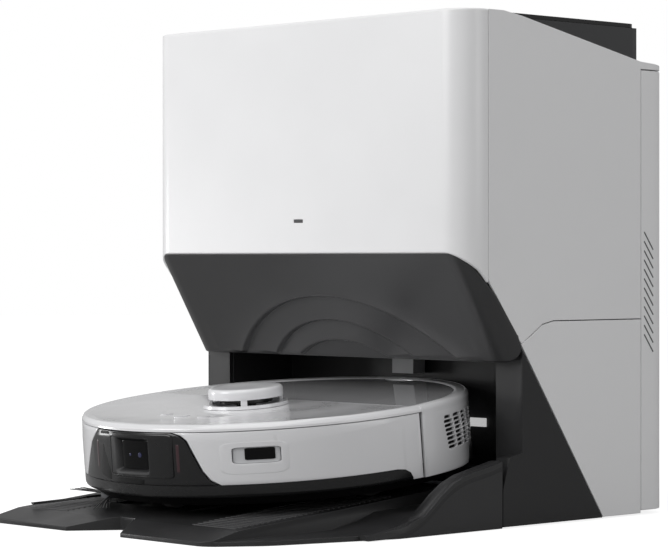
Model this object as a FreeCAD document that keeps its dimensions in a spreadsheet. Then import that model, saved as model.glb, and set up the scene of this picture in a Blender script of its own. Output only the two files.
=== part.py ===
import FreeCAD, Part
import Sketcher
import math
import os

# A robot vacuum parked on its self-emptying, mop-washing dock, in millimetres.
# Origin: floor level, centre of the dock's plan. +X to the right of someone facing the front,
# -Y toward them, +Z up. The robot stands nose down on the sloping ramp.

doc = FreeCAD.newDocument("RobotVacuumDock")
sheet = doc.addObject("Spreadsheet::Sheet", "Sheet")

DIMENSIONS = {
    # dock, overall
    "dock_width": 422,
    "dock_height": 453.5,
    "tower_depth": 278,
    "ramp_reach": 240,
    "front_corner": 28,
    "rear_corner": 25,
    "shell_wall": 3,
    "seam": 0.8,
    "fit_gap": 0.3,
    # dock, front and top
    "cover_return": 30,
    "cover_foot": 241.6,
    "rim_depth": 50,
    "lip_front": 58,
    "lip_height": 144.5,
    "fascia_round": 25,
    "bag_bay_depth": 62,
    "bay_floor_top": 239,
    "tank_bay_back": 235.4,
    "top_cut_front": 74,
    "top_cut_height": 450,
    "top_cut_rear": 418,
    "rear_deck_height": 415,
    "rear_cover_top": 410,
    # dock, inside
    "side_seam": 181,
    "garage_half_width": 178,
    "garage_back": 157,
    "garage_ceiling": 192,
    "jamb_front": 74,
    "deck_height": 196,
    "deck_thickness": 4,
    "shelf_height": 290,
    "base_thickness": 6,
    "foot_height": 2,
    "foot_radius": 12,
    "post_width": 14,
    "tank_wall": 2.5,
    "lid_thickness": 3.5,
    "lid_top": 452.5,
    "duct_radius": 20,
    "duct_wall": 3,
    "fan_radius": 48,
    "fan_height": 72,
    "impeller_radius": 40,
    "shaft_radius": 4,
    "shaft_clearance": 0.05,
    "rail_radius": 4,
    # ramp
    "ramp_edge": 3.5,
    "ramp_angle": 5,
    "wheel_gap": 0.9,
    "tray_front": 49,
    "wing_width": 16,
    "notch_front": 37,
    "notch_rear": 10,
    "notch_depth": 39,
    "track_reach": 150,
    "track_inner": 80,
    "caster_lane": 24,
    # robot
    "robot_forward": 22.1,
    "robot_raise": 28.1,
    "body_radius": 176.5,
    "rim_radius": 172.7,
    "body_top": 79.9,
    "rim_seam": 74,
    "band_top": 28.2,
    "skirt_bottom": 17.1,
    "bumper_wall": 2.5,
    "bumper_travel": 2,
    "bumper_end": 10.8,
    "chassis_radius": 171,
    "chassis_bottom": 10,
    "chassis_top": 28,
    "ring_radius": 168,
    "deck_radius": 163.5,
    "deck_top": 79.1,
    "lid_seam": 9,
    "turret_back": 34.7,
    "turret_radius": 33.9,
    "turret_ring": 38.9,
    "turret_top": 96.5,
    "button_radius": 7,
    "button_pitch": 25,
    "button_row": 112,
    "wheel_radius": 33,
    "wheel_width": 18,
    "wheel_track": 113,
    "arm_reach": 50,
    "caster_row": 130,
    "caster_radius": 13,
    "brush_x": 95,
    "brush_row": 118,
    "brush_reach": 78,
    "roller_radius": 16.5,
    "roller_axis": 20.8,
    "roller_length": 162,
    "roller_front": 89,
    "roller_rear": 52,
    "mop_front": 62,
    "mop_radius": 163,
    "lift_spread": 110,
    "lift_row": 95,
}

for row, (alias, number) in enumerate(DIMENSIONS.items(), start=1):
    sheet.set(f"A{row}", str(number))
    sheet.setAlias(f"A{row}", alias)


class Size:
    """A length that knows its value and the sheet expression that gives it."""

    def __init__(self, value, text):
        self.value = value
        self.text = text

    def join(self, other, sign, value):
        return Size(value, f"({self.text} {sign} {size(other).text})")

    def __add__(self, other):
        return self.join(other, "+", self.value + size(other).value)

    def __sub__(self, other):
        return self.join(other, "-", self.value - size(other).value)

    def __mul__(self, other):
        return self.join(other, "*", self.value * size(other).value)

    def __truediv__(self, other):
        return self.join(other, "/", self.value / size(other).value)

    def __radd__(self, other):
        return size(other) + self

    def __rsub__(self, other):
        return size(other) - self

    def __rmul__(self, other):
        return size(other) * self

    def __neg__(self):
        return Size(-self.value, f"(0 - {self.text})")


def size(number):
    """Any number as a Size."""
    return number if isinstance(number, Size) else Size(float(number), f"({number})")


class Sheet:
    """Each cell of the sheet by its alias."""

    def __getattr__(self, alias):
        return Size(float(DIMENSIONS[alias]), f"Sheet.{alias}")


D = Sheet()


def slope_rise(run):
    """Height gained along a horizontal run of the ramp's slope."""
    gradient = math.tan(math.radians(D.ramp_angle.value))
    return size(run) * Size(gradient, "tan(Sheet.ramp_angle)")


# Planes shared by many pieces
half_width = D.dock_width / 2
inner_half = half_width - D.shell_wall
front = (D.ramp_reach - D.tower_depth) / 2
back = front + D.tower_depth
ramp_tip = front - D.ramp_reach


def depth(distance):
    """Y of a point that lies this far behind the tower's front plane."""
    return front + distance


def wheel_plane(distance):
    """Height of the plane that the robot's wheels roll on, at this depth."""
    return D.robot_raise + slope_rise(distance + D.robot_forward)


def track_height(distance):
    return wheel_plane(distance) - D.wheel_gap


# The curved line on each side where white shell meets dark fascia and skirt: depth, height
SIDE_LINE = [
    (size(0), D.cover_foot),
    (size(20), D.cover_foot - 15.6),
    (size(42), D.cover_foot - 39.6),
    (size(71), D.side_seam - 18),
    (size(182), size(1)),
]


# ---------------------------------------------------------------- building blocks

NODES = []
SIDES = {"right": 1, "left": -1}


def node(shape_object, label):
    """Registers a finished sub-part under the name of its file."""
    shape_object.Label = label
    NODES.append(shape_object)
    return shape_object


def robot_node(shape_object, label):
    """A sub-part drawn in the robot's own frame and set down on the ramp."""
    node(shape_object, label)
    tilt = FreeCAD.Rotation(FreeCAD.Vector(1, 0, 0), D.ramp_angle.value)
    shape_object.Placement = FreeCAD.Placement(FreeCAD.Vector(0, 0, 0), tilt)
    shape_object.setExpression("Placement.Rotation.Angle", D.ramp_angle.text)
    shape_object.setExpression("Placement.Base.y", (front - D.robot_forward).text)
    shape_object.setExpression("Placement.Base.z", D.robot_raise.text)
    return shape_object


def bind(target, prefix, names, values):
    for name, value in zip(names, values):
        target.setExpression(prefix + name, size(value).text)


def box(label, low, high):
    """A block from its low corner to its high corner."""
    block = doc.addObject("Part::Box", label)
    lengths = [size(b) - size(a) for a, b in zip(low, high)]
    bind(block, "", ("Length", "Width", "Height"), lengths)
    bind(block, "Placement.Base.", "xyz", low)
    return block


TURNS = {"x": ((0, 1, 0), 90), "y": ((1, 0, 0), -90), "z": ((0, 0, 1), 0)}


def rod(label, start, radius, length, along="z"):
    """A cylinder that starts at a point and runs along an axis."""
    cylinder = doc.addObject("Part::Cylinder", label)
    axis, angle = TURNS[along]
    turn = FreeCAD.Rotation(FreeCAD.Vector(*axis), angle)
    cylinder.Placement = FreeCAD.Placement(FreeCAD.Vector(0, 0, 0), turn)
    bind(cylinder, "", ("Radius", "Height"), (radius, length))
    bind(cylinder, "Placement.Base.", "xyz", start)
    return cylinder


def fuse(label, *shapes):
    union = doc.addObject("Part::MultiFuse", label)
    union.Shapes = list(shapes)
    union.Refine = True
    return union


def cut(label, base, *tools):
    tool = tools[0] if len(tools) == 1 else fuse(label + "_tools", *tools)
    difference = doc.addObject("Part::Cut", label)
    difference.Base = base
    difference.Tool = tool
    return difference


def common(label, *shapes):
    overlap = doc.addObject("Part::MultiCommon", label)
    overlap.Shapes = list(shapes)
    return overlap


def outline(body, label, plane, points, offset=(0, 0, 0)):
    """A closed sketch of straight lines whose corners are bound to the sheet."""
    sketch = body.newObject("Sketcher::SketchObject", label)
    roles = {item.Role: item for item in body.Origin.OriginFeatures}
    sketch.AttachmentSupport = [(roles[plane + "_Plane"], "")]
    sketch.MapMode = "FlatFace"
    bind(sketch, "AttachmentOffset.Base.", "xyz", offset)
    corners = [(size(u), size(w)) for u, w in points]
    flat = [FreeCAD.Vector(u.value, w.value, 0) for u, w in corners]
    lines = [Part.LineSegment(a, b) for a, b in zip(flat, flat[1:] + flat[:1])]
    sketch.addGeometry(lines, False)
    count = len(corners)
    for i in range(count):
        sketch.addConstraint(Sketcher.Constraint("Coincident", i, 2, (i + 1) % count, 1))
    for i, pair in enumerate(corners):
        for kind, value in zip(("DistanceX", "DistanceY"), pair):
            number = sketch.addConstraint(Sketcher.Constraint(kind, -1, 1, i, 1, value.value))
            sketch.setExpression(f"Constraints[{number}]", value.text)
    return sketch


def prism(label, plane, points, start, length):
    """A body padded from an outline; start is where the pad begins along the plane's normal."""
    body = doc.addObject("PartDesign::Body", label)
    sketch = outline(body, label + "_outline", plane, points, (0, 0, start))
    pad = body.newObject("PartDesign::Pad", label + "_pad")
    pad.Profile = sketch
    pad.setExpression("Length", size(length).text)
    body.Tip = pad
    doc.recompute()
    return body


def across(label, points, half):
    """A side profile (depth, height) carried across the dock from -half to +half."""
    placed = [(depth(u), w) for u, w in points]
    return prism(label, "YZ", placed, -half, half * 2)


def plan(label, points, low, high):
    """A plan outline (x, depth) carried up from low to high."""
    placed = [(u, depth(w)) for u, w in points]
    return prism(label, "XY", placed, low, size(high) - size(low))


def turned(label, profile, centre=(0, 0)):
    """A body revolved about a vertical axis from an outline of (radius, height)."""
    body = doc.addObject("PartDesign::Body", label)
    offset = (centre[0], 0, -size(centre[1]))
    sketch = outline(body, label + "_outline", "XZ", profile, offset)
    turn = body.newObject("PartDesign::Revolution", label + "_turn")
    turn.Profile = sketch
    turn.ReferenceAxis = (sketch, ["V_Axis"])
    turn.Angle = 360
    body.Tip = turn
    doc.recompute()
    return body


def rounded(body, label, radius, *marks):
    """Rounds each edge of the body that passes through one of the marks."""
    base = body.Tip
    names = []
    for mark in marks:
        point = Part.Vertex(*[size(value).value for value in mark])
        gaps = [edge.distToShape(point)[0] for edge in base.Shape.Edges]
        names.append(f"Edge{gaps.index(min(gaps)) + 1}")
    fillet = body.newObject("PartDesign::Fillet", label)
    fillet.Base = (base, names)
    fillet.setExpression("Radius", size(radius).text)
    body.Tip = fillet
    doc.recompute()
    return body


def mirrored_box(label, side, inner, outer, low, high):
    """A block between two distances from the middle plane, on one side of it."""
    near, far = (inner, outer) if side > 0 else (-size(outer), -size(inner))
    return box(label, (near, *low), (far, *high))


def side_plate(label, side, inner, outer, points):
    """A side profile carried between two distances from the middle plane, on one side of it."""
    start = size(inner) if side > 0 else -size(outer)
    placed = [(depth(u), w) for u, w in points]
    return prism(label, "YZ", placed, start, size(outer) - size(inner))


# ---------------------------------------------------------------- dock: ramp and floor


def make_ramp_base():
    """Two-lobed ramp that the robot drives up, with a low wall along each side."""
    tip = D.ramp_reach
    rear = D.tray_front - D.seam
    lobe = half_width - 65
    quarter = [
        (D.notch_front, -tip),
        (lobe, -tip),
        (half_width - 34, -tip + 44),
        (half_width, -tip + 161),
        (half_width, rear),
    ]
    left = [(-x, y) for x, y in reversed(quarter)]
    notch = [(-D.notch_rear, D.notch_depth - tip), (D.notch_rear, D.notch_depth - tip)]
    footprint = plan("ramp_footprint", quarter + left + notch, 0, 70)
    rounded(footprint, "ramp_round", 22, *[(s * lobe, ramp_tip, 35) for s in (1, -1)])
    rounded(footprint, "ramp_cheek", 60, *[(s * (half_width - 34), ramp_tip + 44, 35) for s in (1, -1)])
    bevel = -tip + 34
    slope = [
        (-tip, 0), (-tip, D.ramp_edge), (bevel, track_height(bevel)), (rear, track_height(rear)), (rear, 0),
    ]
    floor_half = half_width - D.wing_width
    incline = across("ramp_incline", slope, D.track_reach)
    low_plate = [
        (-tip, 0), (-tip, D.ramp_edge), (-102, D.ramp_edge + 1), (-70, 10), (-49, 17), (rear, 22), (rear, 0),
    ]
    apron = across("ramp_apron", low_plate, half_width)
    hollow = [
        (-tip + 20, -1),
        (bevel + 4, track_height(bevel + 4) - 4.5),
        (rear - 4, track_height(rear - 4) - 4.5),
        (rear - 4, -1),
    ]
    underside = across("ramp_underside", hollow, D.track_reach - 3)
    spine = box("ramp_spine", (-30, ramp_tip, -2), (30, depth(rear), 70))
    ribs = [
        mirrored_box(f"ramp_rib_{name}", side, 96, 100, (ramp_tip, -2), (depth(rear), 70))
        for name, side in SIDES.items()
    ]
    pockets = cut("ramp_pockets", underside, spine, *ribs)
    walls = [
        (-102 - 30, 0),
        (-102, D.ramp_edge + 1),
        (-70, 10),
        (-57, 15),
        (-49, 17),
        (-27.5, 33.7),
        (-14, 42.3),
        (2, 48.6),
        (32, 55),
        (D.tray_front + 7, 60),
        (D.tray_front + 2.5, 34.2),
        (rear, 33.5),
        (rear, 0),
    ]
    wings = [
        side_plate(f"ramp_wing_{name}", side, floor_half, half_width, walls)
        for name, side in SIDES.items()
    ]
    floor = [(-150, track_height(-150) - 2.4), (14, track_height(14) - 2.4), (14, 90), (-150, 90)]
    wells = [
        side_plate(f"ramp_well_{name}", side, D.caster_lane, D.track_inner, floor)
        for name, side in SIDES.items()
    ]
    solid = fuse("ramp_solid", incline, apron, *wings)
    ramp = common("ramp_top", solid, footprint)
    return node(cut("ramp_base", ramp, pockets, *wells), "ramp_base")


def make_wash_tray():
    """Basin under the docked mop, with the rail that carries the scrubbing brush."""
    rear = D.garage_back - 1
    low = D.foot_height + D.base_thickness + D.fit_gap
    top = [
        (D.tray_front, low), (D.tray_front, track_height(D.tray_front)), (rear, track_height(rear)),
        (rear, low),
    ]
    width = D.garage_half_width - 2
    block = across("tray_block", top, width)
    basin = box("tray_basin", (-150, depth(56), low + 3), (150, depth(143), 80))
    rail = rod("tray_rail", (-155, depth(100), low + 13), D.rail_radius, 310, "x")
    tray = fuse("tray_solid", cut("tray_open", block, basin), rail)
    return node(tray, "wash_tray")


def make_wash_brush():
    """Scrubbing brush that slides across the basin on its rail."""
    low = D.foot_height + D.base_thickness + D.fit_gap
    bar = box("scrub_bar", (-13, depth(60), low + 6), (13, depth(138), low + 21))
    bristles = [
        box(f"scrub_row_{i}", (-9 + 8 * i, depth(64), low + 20), (-7 + 8 * i, depth(134), low + 26))
        for i in range(3)
    ]
    bore = rod("scrub_bore", (-20, depth(100), low + 13), D.rail_radius + D.shaft_clearance, 40, "x")
    return node(cut("scrub_brush", fuse("scrub_solid", bar, *bristles), bore), "wash_brush")


def make_chassis_frame():
    """Floor plate, two posts and the two decks that carry the tanks and the machinery."""
    low = D.foot_height
    top = low + D.base_thickness
    reach = inner_half - 1.5
    plate = box("frame_plate", (-reach, depth(D.tray_front + 1), low), (reach, depth(232), top))
    posts = [
        mirrored_box(
            f"frame_post_{name}",
            side,
            186,
            186 + D.post_width,
            (depth(165), top - 1),
            (depth(228), D.shelf_height + 1),
        )
        for name, side in SIDES.items()
    ]
    deck = box(
        "frame_deck",
        (-reach, depth(78), D.deck_height),
        (reach, depth(232), D.deck_height + D.deck_thickness),
    )
    shelf = box(
        "frame_shelf",
        (-reach, depth(D.bag_bay_depth + 4), D.shelf_height),
        (reach, depth(232), D.shelf_height + 5),
    )
    duct_hole = rod("frame_duct_hole", (0, depth(195), D.deck_height - 5), D.duct_radius + D.fit_gap, 20)
    solid = fuse("frame_solid", plate, *posts, deck, shelf)
    return node(cut("frame_cut", solid, duct_hole), "chassis_frame")


def make_feet():
    """Rubber feet under the floor plate."""
    spots = [(s * x, y) for s in (1, -1) for x, y in ((170, 80), (170, 215), (60, 148))]
    pads = [
        rod(f"foot_{i}", (x, depth(y), 0), D.foot_radius, D.foot_height)
        for i, (x, y) in enumerate(spots)
    ]
    return node(fuse("feet", *pads), "rubber_feet")


# ---------------------------------------------------------------- dock: garage


def make_garage_shell():
    """Dark lining of the bay that the robot backs into, with slots for the charge contacts."""
    wall = D.shell_wall
    low = D.foot_height + D.base_thickness + D.fit_gap
    half = D.garage_half_width
    outer = box(
        "garage_outer",
        (-half - wall, depth(D.jamb_front + 4), low),
        (half + wall, depth(D.garage_back + wall), D.garage_ceiling + wall),
    )
    inner = box("garage_inner", (-half, depth(0), low - 5), (half, depth(D.garage_back), D.garage_ceiling))
    brow = box(
        "garage_brow",
        (-half - wall, depth(D.jamb_front + 4), 153),
        (half + wall, depth(D.jamb_front + 4 + wall), D.garage_ceiling + wall),
    )
    slots = [
        mirrored_box(
            f"garage_slot_{name}",
            side,
            34,
            46,
            (depth(D.garage_back - 2), 60),
            (depth(D.garage_back + 10), 74),
        )
        for name, side in SIDES.items()
    ]
    port = rod("garage_port", (0, depth(D.garage_back - 2), 104), 14, 10, "y")
    shell = fuse("garage_solid", cut("garage_open", outer, inner), brow)
    return node(cut("garage_cut", shell, port, *slots), "garage_shell")


def make_beacon_strip():
    """Pale strip across the back wall that the robot homes on, broken by a dark gap."""
    face = D.garage_back - D.fit_gap
    long_bar = box("beacon_long", (-168, depth(face - 2), 79), (90, depth(face), 87))
    short_bar = box("beacon_short", (104, depth(face - 2), 79), (168, depth(face), 87))
    return node(fuse("beacon", long_bar, short_bar), "beacon_strip")


def make_charge_contacts():
    """Pair of sprung charging pads on a carrier behind the garage's back wall."""
    wall = D.garage_back + D.shell_wall
    pads = [
        mirrored_box(
            f"contact_pad_{name}", side, 36, 44, (depth(D.garage_back - 8), 62), (depth(wall + 5), 72),
        )
        for name, side in SIDES.items()
    ]
    carrier = box("contact_carrier", (-48, depth(wall + D.fit_gap), 59), (48, depth(wall + 5), 75))
    return node(fuse("contacts", carrier, *pads), "charge_contacts")


def make_refill_nozzle():
    """Block that hangs from the garage ceiling and refills the robot's water tank."""
    block = box("nozzle_block", (-14, depth(136), 127), (14, depth(152), D.garage_ceiling - D.fit_gap))
    bore = rod("nozzle_bore", (0, depth(144), 120), 3, 40)
    return node(cut("nozzle", block, bore), "refill_nozzle")


def make_side_skirts():
    """Dark cheeks of the garage: outer plate, front jamb and the end of the ramp's side wall."""
    foot = D.tray_front + 0.1
    jamb = D.jamb_front
    plate = [
        (foot, 1),
        (foot, 33.7),
        (foot + 8.4, 61.2),
        (jamb, 64.7),
        (jamb, 152),
        (jamb - 3, 159.5),
        (181.4, 1),
    ]
    stub = [(foot, 9), (foot, 33.7), (foot + 8.4, 60.2), (jamb + 3, 63), (jamb + 3, 9)]
    for name, side in SIDES.items():
        outer = side_plate(f"skirt_plate_{name}", side, inner_half, half_width, plate)
        post = mirrored_box(
            f"skirt_jamb_{name}",
            side,
            D.garage_half_width + 1,
            inner_half + 1,
            (depth(jamb), 9),
            (depth(jamb + 3.4), 150),
        )
        end = side_plate(f"skirt_end_{name}", side, half_width - D.wing_width, inner_half + 1, stub)
        node(fuse(f"skirt_{name}", outer, post, end), f"side_skirt_{name}")


def make_lower_sides():
    """White lower side panels, below the curved seam."""
    gap = D.seam
    plate = [
        (72.4, D.side_seam - 20.4),
        (86, D.side_seam - 12 - gap),
        (100, D.side_seam - 3 - gap),
        (115, D.side_seam - gap),
        (D.tank_bay_back, D.side_seam - gap),
        (D.tank_bay_back, 1.5),
        (182.4, 1.5),
    ]
    for name, side in SIDES.items():
        panel = side_plate(f"lower_plate_{name}", side, inner_half, half_width, plate)
        node(panel, f"lower_side_{name}")


# ---------------------------------------------------------------- dock: upper body


def make_upper_shell():
    """White upper body: two sides, the bag bay's floor and bulkhead, the front rim and rear deck."""
    start = D.cover_return + D.seam / 2
    top = D.dock_height
    side = [
        (start, D.cover_foot - 24),
        SIDE_LINE[2],
        SIDE_LINE[3],
        (73, D.side_seam - 20),
        (86, D.side_seam - 12),
        (100, D.side_seam - 3),
        (115, D.side_seam),
        (D.tank_bay_back, D.side_seam),
        (D.tank_bay_back, D.rear_deck_height - 4),
        (D.tower_depth, D.rear_deck_height - 4),
        (D.tower_depth, D.rear_deck_height),
        (D.tank_bay_back, D.top_cut_rear),
        (D.top_cut_front, D.top_cut_height),
        (D.rim_depth, top),
        (start, top),
    ]
    body = across("upper_block", side, half_width)
    deck_mid = D.rear_deck_height - 2
    rounded(body, "upper_round", D.rear_corner, *[(s * half_width, back, deck_mid) for s in (1, -1)])
    bay_back = D.bag_bay_depth
    bay = box(
        "upper_bay",
        (-inner_half, depth(20), D.bay_floor_top),
        (inner_half, depth(bay_back), top - D.shell_wall),
    )
    under = box(
        "upper_under",
        (-inner_half, depth(20), 100),
        (inner_half, depth(bay_back + 2.5), D.bay_floor_top - 3),
    )
    behind = box(
        "upper_behind",
        (-inner_half, depth(bay_back + 2.5), 100),
        (inner_half, depth(D.tank_bay_back), top + 5),
    )
    mouth = box(
        "upper_mouth",
        (-inner_half, depth(D.rim_depth), D.lid_top - D.lid_thickness - 0.6),
        (inner_half, depth(bay_back + 3), top + 5),
    )
    duct_hole = rod("upper_duct_hole", (0, depth(bay_back - 5), 264), D.duct_radius + D.fit_gap, 20, "y")
    return node(cut("upper_cut", body, bay, under, behind, mouth, duct_hole), "upper_shell")


def make_front_panel():
    """White wrap-round front cover that pulls off to reach the dust bag."""
    wall = D.shell_wall
    end = D.cover_return
    corners = [(-half_width, 0), (half_width, 0), (half_width, end), (-half_width, end)]
    body = plan("cover_block", corners, D.cover_foot - 30, D.dock_height)
    middle = D.dock_height - 100
    rounded(body, "cover_round", D.front_corner, *[(s * half_width, front, middle) for s in (1, -1)])
    rounded(body, "cover_soft", 2, (0, front, D.dock_height))
    hollow = [(-inner_half, wall), (inner_half, wall), (inner_half, end + 5), (-inner_half, end + 5)]
    inside = plan("cover_hollow", hollow, 0, D.dock_height - wall)
    rounded(
        inside,
        "cover_inner_round",
        D.front_corner - wall,
        *[(s * inner_half, depth(wall), middle) for s in (1, -1)],
    )
    under = [(-5, D.cover_foot), SIDE_LINE[0], SIDE_LINE[1], SIDE_LINE[2], (60, 150), (-5, 150)]
    trim = across("cover_trim", under, half_width + 5)
    window = box("cover_led_hole", (-6, depth(-2), 269), (6, depth(wall + 2), 272))
    return node(cut("cover", body, inside, trim, window), "front_panel")


def make_status_led():
    """Small light bar set in the front cover."""
    gap = D.fit_gap / 2
    bar = box("led_bar", (-6 + gap, depth(0.2), 269 + gap), (6 - gap, depth(D.shell_wall + 1), 272 - gap))
    flange = box("led_flange", (-9, depth(D.shell_wall + gap), 267), (9, depth(D.shell_wall + 2), 274))
    return node(fuse("led", bar, flange), "status_led")


def make_fascia():
    """Dark sloping panel between the front cover and the garage's mouth."""
    lip = D.lip_front
    foot = D.lip_height
    head = D.cover_foot - D.seam
    block = [
        (1.5, head),
        (lip, foot + 2),
        (lip + 3, foot),
        (lip + 11, foot + 1.5),
        (lip + 50, foot + 20),
        (lip + 50, head),
    ]
    reach = half_width - 0.2
    body = across("fascia_block", block, reach)
    middle = ((lip + 1.5) / 2, (head + foot + 2) / 2)
    rounded(
        body,
        "fascia_round_edge",
        D.fascia_round,
        *[(s * reach, depth(middle[0]), middle[1]) for s in (1, -1)],
    )
    above = [
        (1.4, head + 5),
        (1.5, head - 1.3),
        (20 - 0.4, D.cover_foot - 16.4),
        (42 - 0.6, D.cover_foot - 40.6),
        (71 - 0.6, D.side_seam - 19),
        (lip + 11.6, D.side_seam - 21.5),
        (lip + 11.4, foot + 1.5),
        (lip + 60, foot - 5),
        (lip + 60, head + 5),
    ]
    trim = across("fascia_trim", above, half_width + 5)
    inner = [
        (10, head + 5),
        (lip + 1.5, foot + 3.5),
        (lip + 8, foot + 4.5),
        (lip + 10, D.side_seam - 19),
        (80, D.side_seam),
        (42, D.cover_foot + 5),
    ]
    pocket = across("fascia_pocket", inner, half_width - D.fascia_round)
    return node(cut("fascia_cut", body, pocket, trim), "fascia")


def make_rear_cover():
    """Rear cover of the tower, open toward the front, with a vent field at each corner."""
    wall = D.shell_wall
    start = D.tank_bay_back + D.seam
    top = D.rear_cover_top
    corners = [
        (-half_width, start), (half_width, start), (half_width, D.tower_depth), (-half_width, D.tower_depth),
    ]
    body = plan("rear_block", corners, 4, top)
    rounded(body, "rear_round", D.rear_corner, *[(s * half_width, back, 200) for s in (1, -1)])
    inside_corners = [
        (-inner_half, 200), (inner_half, 200), (inner_half, D.tower_depth - wall),
        (-inner_half, D.tower_depth - wall),
    ]
    inside = plan("rear_hollow", inside_corners, 4 + wall, top - wall)
    rounded(
        inside,
        "rear_inner_round",
        D.rear_corner - wall,
        *[(s * inner_half, back - wall, 200) for s in (1, -1)],
    )
    inlet = box(
        "rear_inlet_hole", (139, depth(D.tower_depth - 10), 19), (171, depth(D.tower_depth + 5), 41),
    )
    return node(cut("rear_cut", body, inside, inlet), "rear_cover")


def make_power_inlet():
    """Mains inlet in the rear cover, with its two pins in a recess."""
    gap = D.fit_gap
    end = D.tower_depth
    block = box(
        "inlet_block", (139 + gap, depth(end - 22), 19 + gap), (171 - gap, depth(end - 0.5), 41 - gap),
    )
    flange = box("inlet_flange", (135, depth(end - 8), 15), (175, depth(end - D.shell_wall - gap), 45))
    recess = box("inlet_recess", (144, depth(end - 14), 24), (166, depth(end + 5), 36))
    pins = [rod(f"inlet_pin_{i}", (150 + 10 * i, depth(end - 15), 30), 1.2, 10, "y") for i in range(2)]
    return node(
        fuse("inlet", cut("inlet_cut", fuse("inlet_solid", block, flange), recess), *pins), "power_inlet",
    )


def make_dust_path():
    """Riser and elbow that carry dust to the bag, the collar and the bag itself."""
    r = D.duct_radius
    inner = r - D.duct_wall
    bottom = D.foot_height + D.base_thickness + D.fit_gap
    elbow = 264
    bag_face = D.bag_bay_depth - 4
    riser = rod("duct_riser", (0, depth(195), bottom), r, elbow - bottom + 22)
    branch = rod("duct_branch", (0, depth(bag_face + 1), elbow), r - 1.5, 195 - bag_face + 5, "y")
    riser_bore = rod("duct_riser_bore", (0, depth(195), bottom + 5), inner, elbow - bottom + 13)
    branch_bore = rod("duct_branch_bore", (0, depth(bag_face - 5), elbow), inner - 1.5, 200 - bag_face, "y")
    spigot = rod("duct_spigot", (0, depth(D.garage_back + D.shell_wall + D.fit_gap), 104), 14, 30, "y")
    spigot_bore = rod("duct_spigot_bore", (0, depth(D.garage_back), 104), 11, 38, "y")
    pipe = fuse("duct_pipe", riser, branch, spigot)
    collar = box("collar_plate", (-34, depth(bag_face - 2), 241), (34, depth(bag_face + 1.5), 298))
    pipe = fuse("duct_and_collar", pipe, collar)
    node(cut("duct", pipe, riser_bore, branch_bore, spigot_bore), "dust_duct")
    floor = D.bay_floor_top + D.fit_gap
    plan_corners = [(-95, 8), (95, 8), (95, bag_face - 3), (-95, bag_face - 3)]
    bag = plan("bag_body", plan_corners, floor, floor + 190)
    upright = [(s * 95, depth(d), floor + 90) for s in (1, -1) for d in (8, bag_face - 3)]
    rounded(bag, "bag_round", 14, *upright)
    node(bag, "dust_bag")


def make_fan():
    """Suction fan: a drum on the deck with the impeller on its motor shaft."""
    gap = D.fit_gap
    floor = D.deck_height + D.deck_thickness + gap
    spot = (-112, depth(165))
    r = D.fan_radius
    tall = D.fan_height
    drum = rod("fan_drum", (*spot, floor), r, tall)
    room = rod("fan_room", (*spot, floor + 4), r - 3, tall - 8)
    inlet = rod("fan_inlet", (*spot, floor + tall - 8), 22, 20)
    spindle = rod("fan_spindle", (*spot, floor + 3), D.shaft_radius, 52)
    motor = rod("fan_motor", (*spot, floor + 3), 20, 22)
    node(fuse("fan_body", cut("fan_shell", drum, room, inlet), motor, spindle), "fan_housing")
    hub = rod("impeller_hub", (*spot, floor + 27), 10, 26)
    disc = rod("impeller_disc", (*spot, floor + 27), D.impeller_radius, 3)
    blades = []
    for i in range(9):
        blade = box(f"impeller_blade_{i}", (8, -0.8, 0), (D.impeller_radius, 0.8, 20))
        blade.Placement.Rotation = FreeCAD.Rotation(FreeCAD.Vector(0, 0, 1), 40 * i)
        turn = math.radians(40 * i)
        reach = 8.0
        shift = (spot[0] + reach * math.cos(turn), spot[1] + reach * math.sin(turn), floor + 29)
        bind(blade, "Placement.Base.", "xyz", shift)
        blades.append(blade)
    bore = rod("impeller_bore", (*spot, floor), D.shaft_radius + D.shaft_clearance, 60)
    node(cut("impeller", fuse("impeller_solid", hub, disc, *blades), bore), "fan_impeller")


def make_circuit_board():
    """Control board on the deck, on two rails."""
    floor = D.deck_height + D.deck_thickness + D.fit_gap
    board = box("board_plate", (70, depth(110), floor + 6), (175, depth(215), floor + 7.6))
    rails = [
        box(f"board_rail_{i}", (74 + 90 * i, depth(112), floor), (80 + 90 * i, depth(213), floor + 6))
        for i in range(2)
    ]
    chips = [
        box(
            f"board_chip_{i}",
            (90 + 26 * i, depth(130 + 18 * i), floor + 7.5),
            (108 + 26 * i, depth(150 + 18 * i), floor + 12 + 4 * i),
        )
        for i in range(3)
    ]
    return node(fuse("board", board, *rails, *chips), "circuit_board")


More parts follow.
